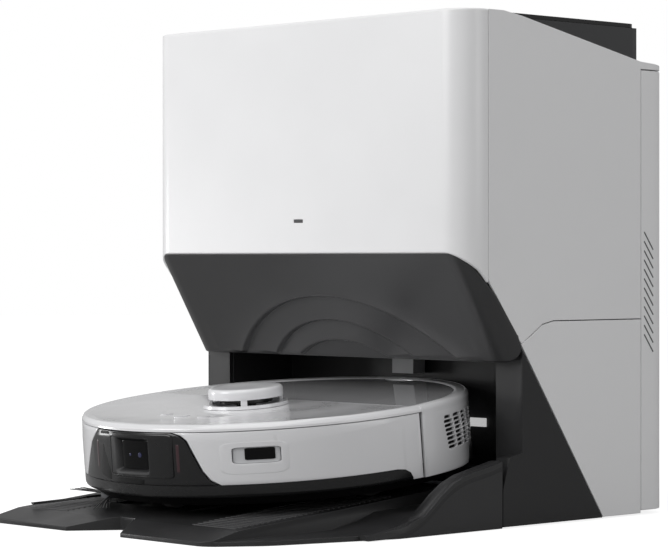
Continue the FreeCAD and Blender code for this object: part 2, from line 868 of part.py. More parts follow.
def make_tanks():
    """Two lift-out tanks side by side, each with a lid plate and a fold-up handle."""
    gap = D.fit_gap
    floor = D.shelf_height + 5 + gap
    top = D.lid_top
    lid_low = top - D.lid_thickness
    tank_top = lid_low - gap
    front_edge = D.bag_bay_depth + 6
    back_edge = D.tank_bay_back - 1
    far = inner_half - 1.5
    for name, side in {"clean": -1, "waste": 1}.items():
        near = size(1.5)
        mid = (far + near) / 2 * side
        shell = mirrored_box(
            f"{name}_shell", side, near, far, (depth(front_edge), floor), (depth(back_edge), tank_top),
        )
        wall = D.tank_wall
        room = mirrored_box(
            f"{name}_room",
            side,
            near + wall,
            far - wall,
            (depth(front_edge + wall), floor + wall),
            (depth(back_edge - wall), tank_top + 5),
        )
        node(cut(f"{name}_tank_cut", shell, room), f"{name}_tank")
        lid_front = D.rim_depth + D.seam
        x_low, x_high = (near, far) if side > 0 else (-far, -near)
        corners = [(x_low, lid_front), (x_high, lid_front), (x_high, back_edge), (x_low, back_edge)]
        plate = plan(f"{name}_lid_plate", corners, lid_low, top)
        rounded(plate, f"{name}_lid_round", 10, (far * side, depth(back_edge), (lid_low + top) / 2))
        recess = box(f"{name}_grip", (mid - 46, depth(128), lid_low + 0.8), (mid + 46, depth(172), top + 5))
        plug = mirrored_box(
            f"{name}_plug",
            side,
            near + wall + gap,
            far - wall - gap,
            (depth(front_edge + wall + gap), lid_low - 6),
            (depth(back_edge - wall - gap), lid_low + 0.5),
        )
        plug_room = mirrored_box(
            f"{name}_plug_room",
            side,
            near + wall + 3,
            far - wall - 3,
            (depth(front_edge + wall + 3), lid_low - 9),
            (depth(back_edge - wall - 3), lid_low - 2),
        )
        solid = fuse(f"{name}_lid_solid", plate, cut(f"{name}_plug_ring", plug, plug_room))
        eyes = [
            box(
                f"{name}_eye_{i}",
                (mid - 44 + 84 * i, depth(163), lid_low),
                (mid - 40 + 84 * i, depth(169), top - 0.3),
            )
            for i in range(2)
        ]
        pin_holes = [
            rod(f"{name}_pin_hole_{i}", (mid - 45 + 84 * i, depth(166), lid_low + 1.9), 1.0, 6, "x")
            for i in range(2)
        ]
        lid = cut(
            f"{name}_lid_cut",
            fuse(f"{name}_lid_eyes", cut(f"{name}_lid_open", solid, recess), *eyes),
            *pin_holes,
        )
        node(lid, f"{name}_tank_lid")
        grip_low = lid_low + 1.0
        grip_high = top - 0.7
        arms = [
            box(
                f"{name}_arm_{i}",
                (mid - 39.7 + 74.4 * i, depth(136), grip_low),
                (mid - 34.7 + 74.4 * i, depth(166.5), grip_high),
            )
            for i in range(2)
        ]
        bar = box(f"{name}_bar", (mid - 39.7, depth(131), grip_low), (mid + 39.7, depth(139), grip_high))
        pins = [
            rod(f"{name}_pin_{i}", (mid - 43.5 + 82.6 * i, depth(166), lid_low + 1.9), 0.94, 4.4, "x")
            for i in range(2)
        ]
        node(fuse(f"{name}_handle", bar, *arms, *pins), f"{name}_tank_handle")


# ---------------------------------------------------------------- robot: body


def ring_half(label, outer, inner, low, high, ahead):
    """The half of a ring in front of the bumper's end, or the half behind it."""
    band = turned(label + "_band", [(inner, low), (outer, low), (outer, high), (inner, high)])
    far = D.body_radius + 20
    if ahead:
        half = box(label + "_half", (-far, -far, -5), (far, -D.bumper_travel / 2 - 0.2 + D.bumper_end, 120))
    else:
        half = box(label + "_half", (-far, D.bumper_travel / 2 + 0.2 + D.bumper_end, -5), (far, far, 120))
    return common(label, band, half)


def make_robot_chassis():
    """Round base of the robot with wells for wheels, rollers, caster and mop."""
    low = D.chassis_bottom
    high = D.chassis_top
    r = D.chassis_radius
    disc = turned("base_disc", [(0, low), (r - 8, low), (r, low + 7), (r, high), (0, high)])
    wells = [
        box(
            f"base_well_{name}",
            (side * D.wheel_track - 16, -41, 0),
            (side * D.wheel_track + 16, D.arm_reach + 10, 60),
        )
        for name, side in SIDES.items()
    ]
    bay = box("base_bay", (-87, -(D.roller_front + 19), 0), (87, -(D.roller_rear - 19), 60))
    caster = rod("base_caster", (0, -D.caster_row, 0), 18, 29.5)
    boss = rod("base_caster_boss", (0, -D.caster_row, high - 1), 20, 9)
    stem = rod("base_stem", (0, -D.caster_row, 0), 3 + D.shaft_clearance, 60)
    lifts = [
        rod(f"base_lift_{name}", (side * D.lift_spread, D.lift_row, 0), 5 + D.shaft_clearance, 60)
        for name, side in SIDES.items()
    ]
    hub = rod("base_hub", (-D.brush_x, -D.brush_row, 0), 4 + D.shaft_clearance, 60)
    mop_room = common(
        "base_mop_room",
        rod("base_mop_disc", (0, 0, 0), D.mop_radius + 2, 16.5),
        box("base_mop_half", (-200, D.mop_front - 2, -5), (200, 200, 60)),
    )
    chassis = cut(
        "base_cut", fuse("base_blank", disc, boss), *wells, bay, caster, stem, hub, mop_room, *lifts
    )
    ears = []
    for name, side in SIDES.items():
        x = side * (D.wheel_track - 21.5)
        ears.append(
            box(
                f"base_ear_{name}",
                (x - 3, D.arm_reach - 6, high - 1),
                (x + 3, D.arm_reach + 6, D.wheel_radius + 8),
            ),
        )
    pins = []
    for name, side in SIDES.items():
        start = D.wheel_track - 19 if side > 0 else -D.wheel_track + 7
        pins.append(rod(f"base_pin_{name}", (start, D.arm_reach, D.wheel_radius), 3, 12, "x"))
    solid = fuse("base_solid", chassis, *ears, *pins)
    return robot_node(solid, "robot_chassis")


def make_brush_guard():
    """Frame under the roller bay with two cross bars."""
    low = D.chassis_bottom - 3.3
    high = D.chassis_bottom - 0.3
    front_edge = -(D.roller_front + 19.5)
    rear_edge = -(D.roller_rear - 19.5)
    frame = box("guard_frame", (-91, front_edge, low), (91, rear_edge, high))
    hole = box("guard_hole", (-82, front_edge + 3, low - 5), (82, rear_edge - 3, high + 5))
    return robot_node(cut("guard", frame, hole), "brush_guard")


ROLLERS = {"front": D.roller_front, "rear": D.roller_rear}


def make_brush_housing():
    """Tunnel over the two rollers, with their bearing pins."""
    low = D.chassis_top + D.fit_gap
    front_edge = -(D.roller_front + 20.5)
    rear_edge = -(D.roller_rear - 20.5)
    block = box("tunnel_block", (-90, front_edge, low), (90, rear_edge, low + 16))
    room = box("tunnel_room", (-87, -(D.roller_front + 19), low - 5), (87, -(D.roller_rear - 19), low + 13))
    cheeks = [
        mirrored_box(
            f"tunnel_cheek_{name}",
            side,
            84,
            86.5,
            (-(D.roller_front + 10), 12),
            (-(D.roller_rear - 10), low + 14),
        )
        for name, side in SIDES.items()
    ]
    pins = []
    for row, y in ROLLERS.items():
        for name, side in SIDES.items():
            start = 77 if side > 0 else -85
            pins.append(rod(f"tunnel_pin_{row}_{name}", (start, -y, D.roller_axis), 3, 8, "x"))
    return robot_node(fuse("tunnel", cut("tunnel_cut", block, room), *cheeks, *pins), "brush_housing")


def make_rollers():
    """Two rubber rollers with helical blades drawn as straight fins here."""
    for row, y in ROLLERS.items():
        length = D.roller_length
        core = rod(f"roller_{row}_core", (-length / 2, -y, D.roller_axis), D.roller_radius - 5, length, "x")
        fins = []
        for i in range(3):
            fin = box(f"roller_{row}_fin_{i}", (0, 0, 0), (length, 2 * D.roller_radius - 1, 3))
            turn = math.radians(60 * i)
            fin.Placement.Rotation = FreeCAD.Rotation(FreeCAD.Vector(1, 0, 0), 60 * i)
            reach = D.roller_radius - 0.5
            shift_y = -y - reach * math.cos(turn) + 1.5 * math.sin(turn)
            shift_z = D.roller_axis - reach * math.sin(turn) - 1.5 * math.cos(turn)
            bind(fin, "Placement.Base.", "xyz", (-length / 2, shift_y, shift_z))
            fins.append(fin)
        bore = rod(
            f"roller_{row}_bore", (-length, -y, D.roller_axis), 3 + D.shaft_clearance, length * 2, "x",
        )
        solid = cut(f"roller_{row}", fuse(f"roller_{row}_solid", core, *fins), bore)
        robot_node(solid, f"main_brush_{row}")


def make_top_shell():
    """Upper frame: inner ring wall, white rim and the front deck with its lid recess."""
    ring = D.ring_radius
    low = D.chassis_top + D.fit_gap
    seam = D.rim_seam + D.fit_gap
    rim = D.rim_radius
    deck = D.deck_radius
    profile = [
        (ring - 2.5, low),
        (ring, low),
        (ring, seam),
        (D.body_radius - 0.7, seam),
        (D.body_radius - 1.0, seam + 2),
        (rim + 1.2, D.body_top - 0.8),
        (rim, D.body_top),
        (deck + 2, D.body_top),
        (deck, D.deck_top),
        (0, D.deck_top),
        (0, D.rim_seam - 0.1),
        (ring - 2.5, D.rim_seam - 0.1),
    ]
    body = turned("top_body", profile)
    lid_room = common(
        "top_lid_room",
        rod("top_lid_disc", (0, 0, D.rim_seam + 2.4), deck, 20),
        box("top_lid_half", (-200, D.lid_seam, 0), (200, 200, 150)),
    )
    bin_room = common(
        "top_bin_room",
        rod("top_bin_disc", (0, 0, 0), 154, 120),
        box("top_bin_half", (-88, 38, 60), (88, 148, 150)),
    )
    turret = rod("top_turret_hole", (0, -D.turret_back, 0), 36.3, 150)
    buttons = []
    for i in (-1, 0, 1):
        spot = (D.button_pitch * i, -D.button_row + 4 * abs(i), 0)
        radius = D.button_radius - (1.5 if i else 0) + D.fit_gap
        buttons.append(rod(f"top_button_hole_{i + 1}", spot, radius, 150))
    notch = box("top_notch", (-35, 165.5, D.rim_seam + 4), (35, 190, 120))
    return robot_node(cut("top_cut", body, lid_room, bin_room, turret, notch, *buttons), "robot_top_shell")


def make_rear_shell():
    """White rear wall with rows of side vents."""
    shell = ring_half("rear_wall", D.body_radius, D.body_radius - 2.8, D.skirt_bottom, D.rim_seam, False)
    slots = []
    for name, side in SIDES.items():
        for column in range(4):
            angle = 105 + 7 * column
            for row in range(8 - (1 if column in (0, 3) else 0)):
                slot = box(f"vent_{name}_{column}_{row}", (-7, -6, 0), (7, 6, 2))
                spin = FreeCAD.Rotation(FreeCAD.Vector(0, 0, 1), side * angle)
                slot.Placement.Rotation = spin
                heading = math.radians(side * angle)
                reach = D.body_radius - 1.5
                cx = reach * math.sin(heading) - 7 * math.cos(heading) + 6 * math.sin(heading)
                cy = -reach * math.cos(heading) - 7 * math.sin(heading) - 6 * math.cos(heading)
                cz = D.skirt_bottom + 19 + 3.8 * row
                bind(slot, "Placement.Base.", "xyz", (cx, cy, cz))
                slots.append(slot)
    return robot_node(cut("rear_shell_cut", shell, *slots), "robot_rear_shell")


def make_bumper():
    """White sprung front cover, its black lower band and the black sensor nose."""
    outer = D.body_radius - 0.3
    inner = outer - D.bumper_wall
    cover = ring_half("bumper_ring", outer, inner, D.band_top + 0.2, D.rim_seam - 0.3, True)
    low = D.band_top
    high = D.rim_seam
    wedge = [
        (-85, low - 1), (-66, low + 14), (-47, high - 6), (-44, high + 5), (49, high + 5),
        (56, high - 6), (72, low + 21), (92, low - 1),
    ]
    opening = prism("nose_opening", "XZ", wedge, 60, 140)
    node_cover = cut("bumper_cut", cover, opening)
    pill = box("bumper_pill", (-17, -6, 45.5), (17, 6, 61))
    pill.Placement.Rotation = FreeCAD.Rotation(FreeCAD.Vector(0, 0, 1), 42)
    heading = math.radians(42)
    reach = D.body_radius - 1
    cx = reach * math.sin(heading) - 17 * math.cos(heading) + 6 * math.sin(heading)
    cy = -reach * math.cos(heading) - 17 * math.sin(heading) - 6 * math.cos(heading)
    bind(pill, "Placement.Base.", "xyz", (cx, cy, 45.5))
    robot_node(cut("bumper_final", node_cover, pill), "bumper_cover")
    band = ring_half(
        "band_ring", D.body_radius - 0.5, D.body_radius - 2.8, D.skirt_bottom, D.band_top, True,
    )
    robot_node(band, "bumper_band")
    inset = [
        (-82.9, low + 0.2), (-65, low + 14.5), (-46.2, high - 6), (-43.9, high - 0.3),
        (48.7, high - 0.3), (55.2, high - 6), (71, low + 21), (89.8, low + 0.2),
    ]
    nose_band = turned(
        "nose_band",
        [(outer - 3.5, low), (D.body_radius + 0.3, low), (D.body_radius + 0.3, high), (outer - 3.5, high)],
    )
    nose = common("nose_solid", nose_band, prism("nose_face", "XZ", inset, 60, 140))
    window = box("nose_window_hole", (-21, -200, 35.5), (27, -150, 69.5))
    robot_node(cut("nose_cut", nose, window), "bumper_nose")
    glass = turned(
        "glass_band", [(outer - 5, 35.8), (outer - 1.5, 35.8), (outer - 1.5, 69.2), (outer - 5, 69.2)],
    )
    robot_node(
        common("glass", glass, box("glass_box", (-20.7, -200, 30), (26.7, -150, 80))), "sensor_window",
    )
    side_glass = box("pill_block", (-16.7, 0, 45.8), (16.7, 2.4, 60.7))
    side_glass.Placement.Rotation = FreeCAD.Rotation(FreeCAD.Vector(0, 0, 1), 42)
    inset_reach = D.body_radius - 2.0
    gx = inset_reach * math.sin(heading) - 16.7 * math.cos(heading)
    gy = -inset_reach * math.cos(heading) - 16.7 * math.sin(heading)
    bind(side_glass, "Placement.Base.", "xyz", (gx, gy, 45.8))
    cap = rod("pill_limit", (0, 0, 40), outer - 0.4, 30)
    robot_node(common("side_window_solid", side_glass, cap), "side_window")


def make_top_lid():
    """Glossy flip lid over the dust bin, hinged along its front edge."""
    gap = D.fit_gap
    seam = D.lid_seam + gap
    low = D.rim_seam + 2.4 + gap
    disc = rod("lid_disc", (0, 0, low), D.deck_radius - 0.5, D.deck_top - low)
    half = box("lid_half", (-200, seam, 0), (200, 162, 150))
    grip = rod("lid_grip", (0, 176, low - 5), 24, 30)
    return robot_node(cut("lid", common("lid_solid", disc, half), grip), "top_lid")


def make_dustbin():
    """Dust bin that sits under the lid."""
    low = D.chassis_top + D.fit_gap
    round_limit = rod("bin_round", (0, 0, low), 150, 76 - low)
    block = box("bin_block", (-84, 42, low), (84, 144, D.rim_seam + 1.6))
    room = box("bin_room", (-81, 45, low + 3), (81, 132, D.rim_seam - 3))
    return robot_node(cut("bin", common("bin_solid", block, round_limit), room), "dustbin")


def make_battery():
    """Battery pack in the middle of the robot."""
    low = D.chassis_top + D.fit_gap
    cells = box("battery_block", (-62, -20, low), (62, 34, low + 26))
    tab = box("battery_tab", (-12, 34, low), (12, 37, low + 12))
    return robot_node(fuse("battery_solid", cells, tab), "battery")


def make_turret():
    """Ranging turret: fixed cup, spinning head and sprung cap on four legs."""
    y = -D.turret_back
    deck = D.deck_top + D.fit_gap
    cup = turned(
        "turret_cup",
        [
            (0, 61), (36, 61), (36, deck), (D.turret_ring, deck), (D.turret_ring - 0.8, deck + 2.8),
            (33.5, deck + 2.8), (33.5, 65), (0, 65),
        ],
        (0, y),
    )
    boss = rod("turret_boss", (0, y, 64), 9, 12)
    guides = []
    bores = []
    legs = []
    for i in range(4):
        angle = math.radians(45 + 90 * i)
        x_spot = 30.2 * math.cos(angle)
        y_spot = y + 30.2 * math.sin(angle)
        guides.append(rod(f"turret_guide_{i}", (x_spot, y_spot, 64), 4, 17))
        bores.append(rod(f"turret_guide_bore_{i}", (x_spot, y_spot, 65.2), 2 + D.shaft_clearance, 30))
        legs.append(rod(f"cap_leg_{i}", (x_spot, y_spot, 67), 2, 27))
    shaft_bore = rod("turret_shaft_bore", (0, y, 65), 4 + D.shaft_clearance, 30)
    robot_node(cut("turret", fuse("turret_solid", cup, boss, *guides), *bores, shaft_bore), "turret_base")
    head = rod("head_drum", (0, y, 82.6), 24, 8)
    stem = rod("head_stem", (0, y, 65.3), 4, 18)
    collar = rod("head_collar", (0, y, 76.4), 9, 7)
    eye = box("head_eye", (-15, y - 30, 84), (15, y - 20, 89))
    robot_node(cut("head", fuse("head_solid", head, stem, collar), eye), "lidar_head")
    top = D.turret_top
    r = D.turret_radius
    cap = turned(
        "cap_disc",
        [
            (0, top - 3.3), (r - 2.5, top - 3.3), (r - 2.5, top - 5.5), (r, top - 5.5),
            (r, top - 2), (r - 0.8, top - 0.6), (r - 3, top), (0, top),
        ],
        (0, y),
    )
    robot_node(fuse("cap", cap, *legs), "turret_cap")


def make_buttons():
    """Row of three buttons ahead of the turret, each with a flange under the deck."""
    for i, name in enumerate(("spot", "power", "home")):
        side = i - 1
        radius = D.button_radius - (1.5 if side else 0)
        spot = (D.button_pitch * side, -D.button_row + 4 * abs(side))
        cap = rod(f"{name}_cap", (*spot, D.rim_seam - 1.4), radius, D.deck_top - D.rim_seam + 2)
        flange = rod(f"{name}_flange", (*spot, D.rim_seam - 2.4), radius + 1.5, 2)
        robot_node(fuse(f"{name}_button", cap, flange), f"button_{name}")


def make_wheels():
    """Two drive wheels on their swing arms."""
    r = D.wheel_radius
    width = D.wheel_width
    for name, side in SIDES.items():
        centre = D.wheel_track * side
        outer = rod(f"wheel_{name}_tyre", (centre - width / 2, 0, r), r, width, "x")
        bore = rod(f"wheel_{name}_bore", (centre - width, 0, r), 4 + D.shaft_clearance, width * 2, "x")
        robot_node(cut(f"wheel_{name}", outer, bore), f"drive_wheel_{name}")
        gap = 1.0
        arm_low = centre - width / 2 - gap - 4 if side > 0 else centre + width / 2 + gap
        arm = box(f"arm_{name}_bar", (arm_low, -8, r - 7), (arm_low + 4, D.arm_reach + 7, r + 7))
        axle_start = arm_low + 3 if side > 0 else arm_low + 1 - width - gap
        axle = rod(f"arm_{name}_axle", (axle_start, 0, r), 4, width + gap, "x")
        pivot = rod(f"arm_{name}_pivot", (arm_low - 5, D.arm_reach, r), 3 + D.shaft_clearance, 14, "x")
        robot_node(cut(f"arm_{name}", fuse(f"arm_{name}_solid", arm, axle), pivot), f"wheel_arm_{name}")


def make_caster():
    """Swivelling front caster: fork with its stem, and the wheel on its pin."""
    y = -D.caster_row
    r = D.caster_radius
    trail = 4
    axle_y = y + trail
    bridge = rod("fork_bridge", (0, y, 27.2), 13, 2)
    stem = rod("fork_stem", (0, y, 29), 3, 7)
    ears = [
        box(f"fork_ear_{i}", (-9.5 + 16 * i, axle_y - 4, r - 5), (-6.5 + 16 * i, axle_y + 4, 28))
        for i in range(2)
    ]
    pin = rod("fork_pin", (-9, axle_y, r), 1.5, 18, "x")
    robot_node(fuse("fork", bridge, stem, *ears, pin), "caster_fork")
    tyre = rod("caster_tyre", (-5.5, axle_y, r), r, 11, "x")
    bore = rod("caster_bore", (-10, axle_y, r), 1.5 + D.shaft_clearance, 20, "x")
    robot_node(cut("caster", tyre, bore), "caster_wheel")


def make_side_brush():
    """Five-armed corner brush on its spindle."""
    x = -D.brush_x
    y = -D.brush_row
    low = 1.3
    hub = rod("side_hub", (x, y, low), 9, 8.4)
    spindle = rod("side_spindle", (x, y, low + 8), 4, 18)
    arms = []
    for i in range(5):
        arm = box(f"side_arm_{i}", (0, -2.5, 0), (D.brush_reach, 2.5, 1.6))
        arm.Placement.Rotation = FreeCAD.Rotation(FreeCAD.Vector(0, 0, 1), 72 * i + 20)
        turn = math.radians(72 * i + 20)
        corner = (x + 2.5 * math.sin(turn), y - 2.5 * math.cos(turn), low)
        bind(arm, "Placement.Base.", "xyz", corner)
        arms.append(arm)
    return robot_node(fuse("side_brush_solid", hub, spindle, *arms), "side_brush")


def make_mop():
    """Mop plate that lifts into the chassis, and the cloth under it."""
    limit = D.mop_radius
    plate = common(
        "mop_plate_solid",
        rod("mop_plate_disc", (0, 0, 4.8), limit, 6),
        box("mop_plate_half", (-200, D.mop_front, 0), (200, 200, 60)),
    )
    cloth = common(
        "mop_cloth_solid",
        rod("mop_cloth_disc", (0, 0, 1), limit - 3, 3.5),
        box("mop_cloth_half", (-200, D.mop_front + 3, 0), (200, 200, 60)),
    )
    posts = [
        rod(f"mop_post_{name}", (side * D.lift_spread, D.lift_row, 9), 5, 18)
        for name, side in SIDES.items()
    ]
    robot_node(fuse("mop_plate_full", plate, *posts), "mop_plate")
    robot_node(cloth, "mop_cloth")


SUB_PARTS = [
    make_ramp_base,
    make_wash_tray,
    make_wash_brush,
    make_chassis_frame,
    make_feet,
    make_garage_shell,
    make_beacon_strip,
    make_charge_contacts,
    make_refill_nozzle,
    make_side_skirts,
    make_lower_sides,
    make_upper_shell,
    make_front_panel,
    make_status_led,
    make_fascia,
    make_rear_cover,
    make_power_inlet,
    make_dust_path,
    make_fan,
    make_circuit_board,
    make_tanks,
    make_robot_chassis,
    make_brush_guard,
    make_brush_housing,
    make_rollers,
    make_top_shell,
    make_rear_shell,
    make_bumper,
    make_top_lid,
    make_dustbin,
    make_battery,
    make_turret,
    make_buttons,
    make_wheels,
    make_caster,
    make_side_brush,
    make_mop,
]

for make in SUB_PARTS:
    make()
doc.recompute()

failed = [item.Label for item in doc.Objects if {"Invalid", "Error"} & set(item.State)]
failed += [item.Label for item in NODES if item.Shape.isNull() or not item.Shape.isValid()]
if failed:
    raise RuntimeError("no sound shape: " + ", ".join(failed))

os.makedirs("parts", exist_ok=True)
for item in NODES:
    item.Shape.exportStep(os.path.join("parts", item.Label + ".step"))
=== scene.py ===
"""The looks of a robot vacuum parked on its mop-washing dock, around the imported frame."""

from __future__ import annotations

import logging
import math
from dataclasses import dataclass
from enum import Enum
from typing import Callable, Iterable, Sequence

import bmesh
import bpy
from mathutils import Euler, Matrix, Vector


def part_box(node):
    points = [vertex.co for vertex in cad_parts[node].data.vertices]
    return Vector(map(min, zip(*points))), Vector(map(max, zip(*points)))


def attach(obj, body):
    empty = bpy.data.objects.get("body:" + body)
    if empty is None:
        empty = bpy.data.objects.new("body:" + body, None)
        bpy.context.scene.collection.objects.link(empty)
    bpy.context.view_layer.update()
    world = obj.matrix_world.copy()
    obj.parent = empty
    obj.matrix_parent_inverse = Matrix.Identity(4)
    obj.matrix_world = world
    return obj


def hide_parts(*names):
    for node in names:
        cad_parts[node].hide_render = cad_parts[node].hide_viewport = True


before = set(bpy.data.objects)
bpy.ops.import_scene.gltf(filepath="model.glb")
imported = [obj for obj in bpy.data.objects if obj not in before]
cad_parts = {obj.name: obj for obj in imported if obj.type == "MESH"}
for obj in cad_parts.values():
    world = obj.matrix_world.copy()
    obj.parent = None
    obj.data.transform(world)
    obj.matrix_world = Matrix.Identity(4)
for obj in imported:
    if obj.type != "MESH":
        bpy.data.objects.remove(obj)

LOG = logging.getLogger("robot_dock")
MM = 0.001
PATCH_MM = 60.0  # size of the faint patches in colour and gloss
WAVE_PER_SCALE = 20  # a wave texture repeats this many times per unit of its scale
CREASE_DEG = 35.0  # edges sharper than this stay hard or are rounded
Point = tuple[float, float]
Place = Callable[[Vector], Vector]


# ------------------------------------------------------------------ colours and materials


def linear(code: str) -> tuple[float, float, float, float]:
    """Turns an sRGB hex colour into linear values.

    Args:
        code: six hex digits.

    Returns:
        Red, green, blue and full alpha, linear.
    """
    parts = [int(code[i : i + 2], 16) / 255 for i in (0, 2, 4)]
    low = [c / 12.92 if c <= 0.04045 else ((c + 0.055) / 1.055) ** 2.4 for c in parts]
    return (low[0], low[1], low[2], 1.0)


def add_node(
    tree: bpy.types.NodeTree,
    kind: str,
    settings: dict[str, object] | None = None,
    inputs: dict[str | int, object] | None = None,
) -> bpy.types.Node:
    """Adds one node with its settings, input values and links.

    Args:
        tree: the node tree.
        kind: the node's type name.
        settings: attributes of the node.
        inputs: values or output sockets by input name or number.

    Returns:
        The new node.
    """
    item = tree.nodes.new(kind)
    for key, value in (settings or {}).items():
        setattr(item, key, value)
    for key, value in (inputs or {}).items():
        if isinstance(value, bpy.types.NodeSocket):
            tree.links.new(value, item.inputs[key])
        else:
            item.inputs[key].default_value = value
    return item


@dataclass(frozen=True)
class Finish:
    """A moulded or formed surface: base colour with slight mottling, grain and gloss."""

    name: str
    colour: str
    roughness: float
    grain_mm: float = 0.8
    grain_depth_mm: float = 0.02
    mottle: float = 0.03
    coat: float = 0.0
    coat_roughness: float = 0.05
    metallic: float = 0.0
    ior: float = 1.5
    specular: float = 0.5
    rough_spread: float = 0.06
    alpha: float = 1.0
    transmission: float = 0.0
    emission: str = ""
    emission_strength: float = 0.0

    def build(self) -> bpy.types.Material:
        """Makes the material, once.

        Returns:
            The material with this finish.
        """
        found = bpy.data.materials.get(self.name)
        if found is not None:
            return found
        material = bpy.data.materials.new(self.name)
        material.use_nodes = True
        tree = material.node_tree
        tree.nodes.clear()
        place = add_node(tree, "ShaderNodeTexCoord").outputs["Object"]
        patches = add_node(
            tree,
            "ShaderNodeTexNoise",
            inputs={"Vector": place, "Scale": 1 / (PATCH_MM * MM), "Detail": 3.0},
        )
        grain = self.grain(tree, place)
        shade = linear(self.colour)
        dark = tuple(c * (1 - self.mottle) for c in shade[:3]) + (1.0,)
        light = tuple(min(1.0, c * (1 + self.mottle)) for c in shade[:3]) + (1.0,)
        tint = add_node(
            tree,
            "ShaderNodeMix",
            {"data_type": "RGBA"},
            {0: patches.outputs["Fac"], 6: dark, 7: light},
        )
        rough = add_node(
            tree,
            "ShaderNodeMapRange",
            inputs={
                "Value": patches.outputs["Fac"],
                "From Min": 0.3,
                "From Max": 0.7,
                "To Min": max(0.02, self.roughness - self.rough_spread),
                "To Max": min(1.0, self.roughness + self.rough_spread),
            },
        )
        bump = add_node(
            tree,
            "ShaderNodeBump",
            inputs={"Height": grain, "Distance": self.grain_depth_mm * MM, "Strength": 0.6},
        )
        values: dict[str | int, object] = {
            "Base Color": tint.outputs[2],
            "Roughness": rough.outputs["Result"],
            "Normal": bump.outputs["Normal"],
            "Metallic": self.metallic,
            "IOR": self.ior,
            "Specular IOR Level": self.specular,
            "Coat Weight": self.coat,
            "Coat Roughness": self.coat_roughness,
            "Alpha": self.alpha,
            "Transmission Weight": self.transmission,
        }
        if self.emission:
            values["Emission Color"] = linear(self.emission)
            values["Emission Strength"] = self.emission_strength
        shader = add_node(tree, "ShaderNodeBsdfPrincipled", inputs=values)
        add_node(tree, "ShaderNodeOutputMaterial", inputs={"Surface": shader.outputs[0]})
        return material

    def grain(self, tree: bpy.types.NodeTree, place: bpy.types.NodeSocket) -> bpy.types.NodeSocket:
        """Adds the fine surface pattern.

        Args:
            tree: the material's tree.
            place: the object coordinates.

        Returns:
            The height socket.
        """
        noise = add_node(
            tree,
            "ShaderNodeTexNoise",
            inputs={"Vector": place, "Scale": 1 / (self.grain_mm * MM), "Detail": 2.0},
        )
        return noise.outputs["Fac"]


@dataclass(frozen=True)
class Woven(Finish):
    """A fabric: crossed threads at a real spacing."""

    thread_mm: float = 1.2

    def grain(self, tree: bpy.types.NodeTree, place: bpy.types.NodeSocket) -> bpy.types.NodeSocket:
        """Adds crossed threads.

        Args:
            tree: the material's tree.
            place: the object coordinates.

        Returns:
            The height socket.
        """
        waves = [
            add_node(
                tree,
                "ShaderNodeTexWave",
                {"bands_direction": axis},
                {
                    "Vector": place,
                    "Scale": 1 / (self.thread_mm * MM * WAVE_PER_SCALE),
                    "Distortion": 1.2,
                    "Detail": 1.0,
                },
            ).outputs["Fac"]
            for axis in ("X", "Y")
        ]
        both = add_node(tree, "ShaderNodeMath", {"operation": "ADD"}, {0: waves[0], 1: waves[1]})
        return both.outputs[0]


# Moulded ABS, satin: large calm faces with a soft sheen
WHITE_ABS = Finish("white_satin_abs", "EDEDEE", 0.34, 0.5, 0.006, 0.012, coat=0.15, coat_roughness=0.25)
# The same ABS, polished: sharper reflections on the robot
WHITE_GLOSS = Finish("white_polished_abs", "E4E4E6", 0.2, 0.6, 0.004, 0.012, coat=0.5, coat_roughness=0.06)
# Lacquered lid: mirror-like, so it takes up the dark dock above it
LACQUER = Finish(
    "lacquered_lid", "DCDCDE", 0.1, 1.0, 0.002, 0.01, coat=1.0, coat_roughness=0.03
)
PALE_INNER = Finish("pale_inner_abs", "C9CACC", 0.45, 0.6, 0.01, 0.02)
# Spray-painted fascia: dark, smooth, a broad soft sheen
FASCIA_PAINT = Finish(
    "charcoal_soft_paint", "303031", 0.33, 0.35, 0.006, 0.04, coat=0.12, coat_roughness=0.25
)
# Spark-eroded charcoal ABS: fine even grain kills the gloss
CHARCOAL = Finish("charcoal_grained_abs", "242425", 0.46, 0.5, 0.03, 0.05, specular=0.4)
TRACK = Finish("track_rubber", "2A2A2B", 0.36, 0.5, 0.02, 0.06, specular=0.5)
# Grip ribs: the track's dark grey made lighter, a painted highlight on the rib tops
RIB_PAINTED_HIGHLIGHT = Finish("rib_painted_highlight", "4A4A4B", 0.4, 0.5, 0.03, 0.06)
SATIN_BLACK = Finish(
    "satin_black_abs", "131314", 0.24, 0.4, 0.006, 0.05, coat=0.2, coat_roughness=0.1, specular=0.35
)
DEEP_BLACK = Finish("deep_black_abs", "080809", 0.5, 0.5, 0.02, 0.05, specular=0.2)
MOULDED_GREY = Finish("moulded_grey_abs", "6C6D70", 0.5, 0.6, 0.02, 0.05)
SLOT_GREY = Finish("shaded_slot", "4C4C4E", 0.6, 0.6, 0.02, 0.05)
PALE_GREY = Finish("pale_grey_abs", "9B9C9E", 0.4, 0.6, 0.01, 0.04)
GREEN_BOARD = Finish("green_laminate", "1F5A3A", 0.35, 0.6, 0.01, 0.05)
RUBBER = Finish("black_rubber", "1A1A1B", 0.75, 0.6, 0.05, 0.08)
ROLLER_RUBBER = Finish("roller_rubber", "3B3C3F", 0.6, 0.6, 0.04, 0.08)
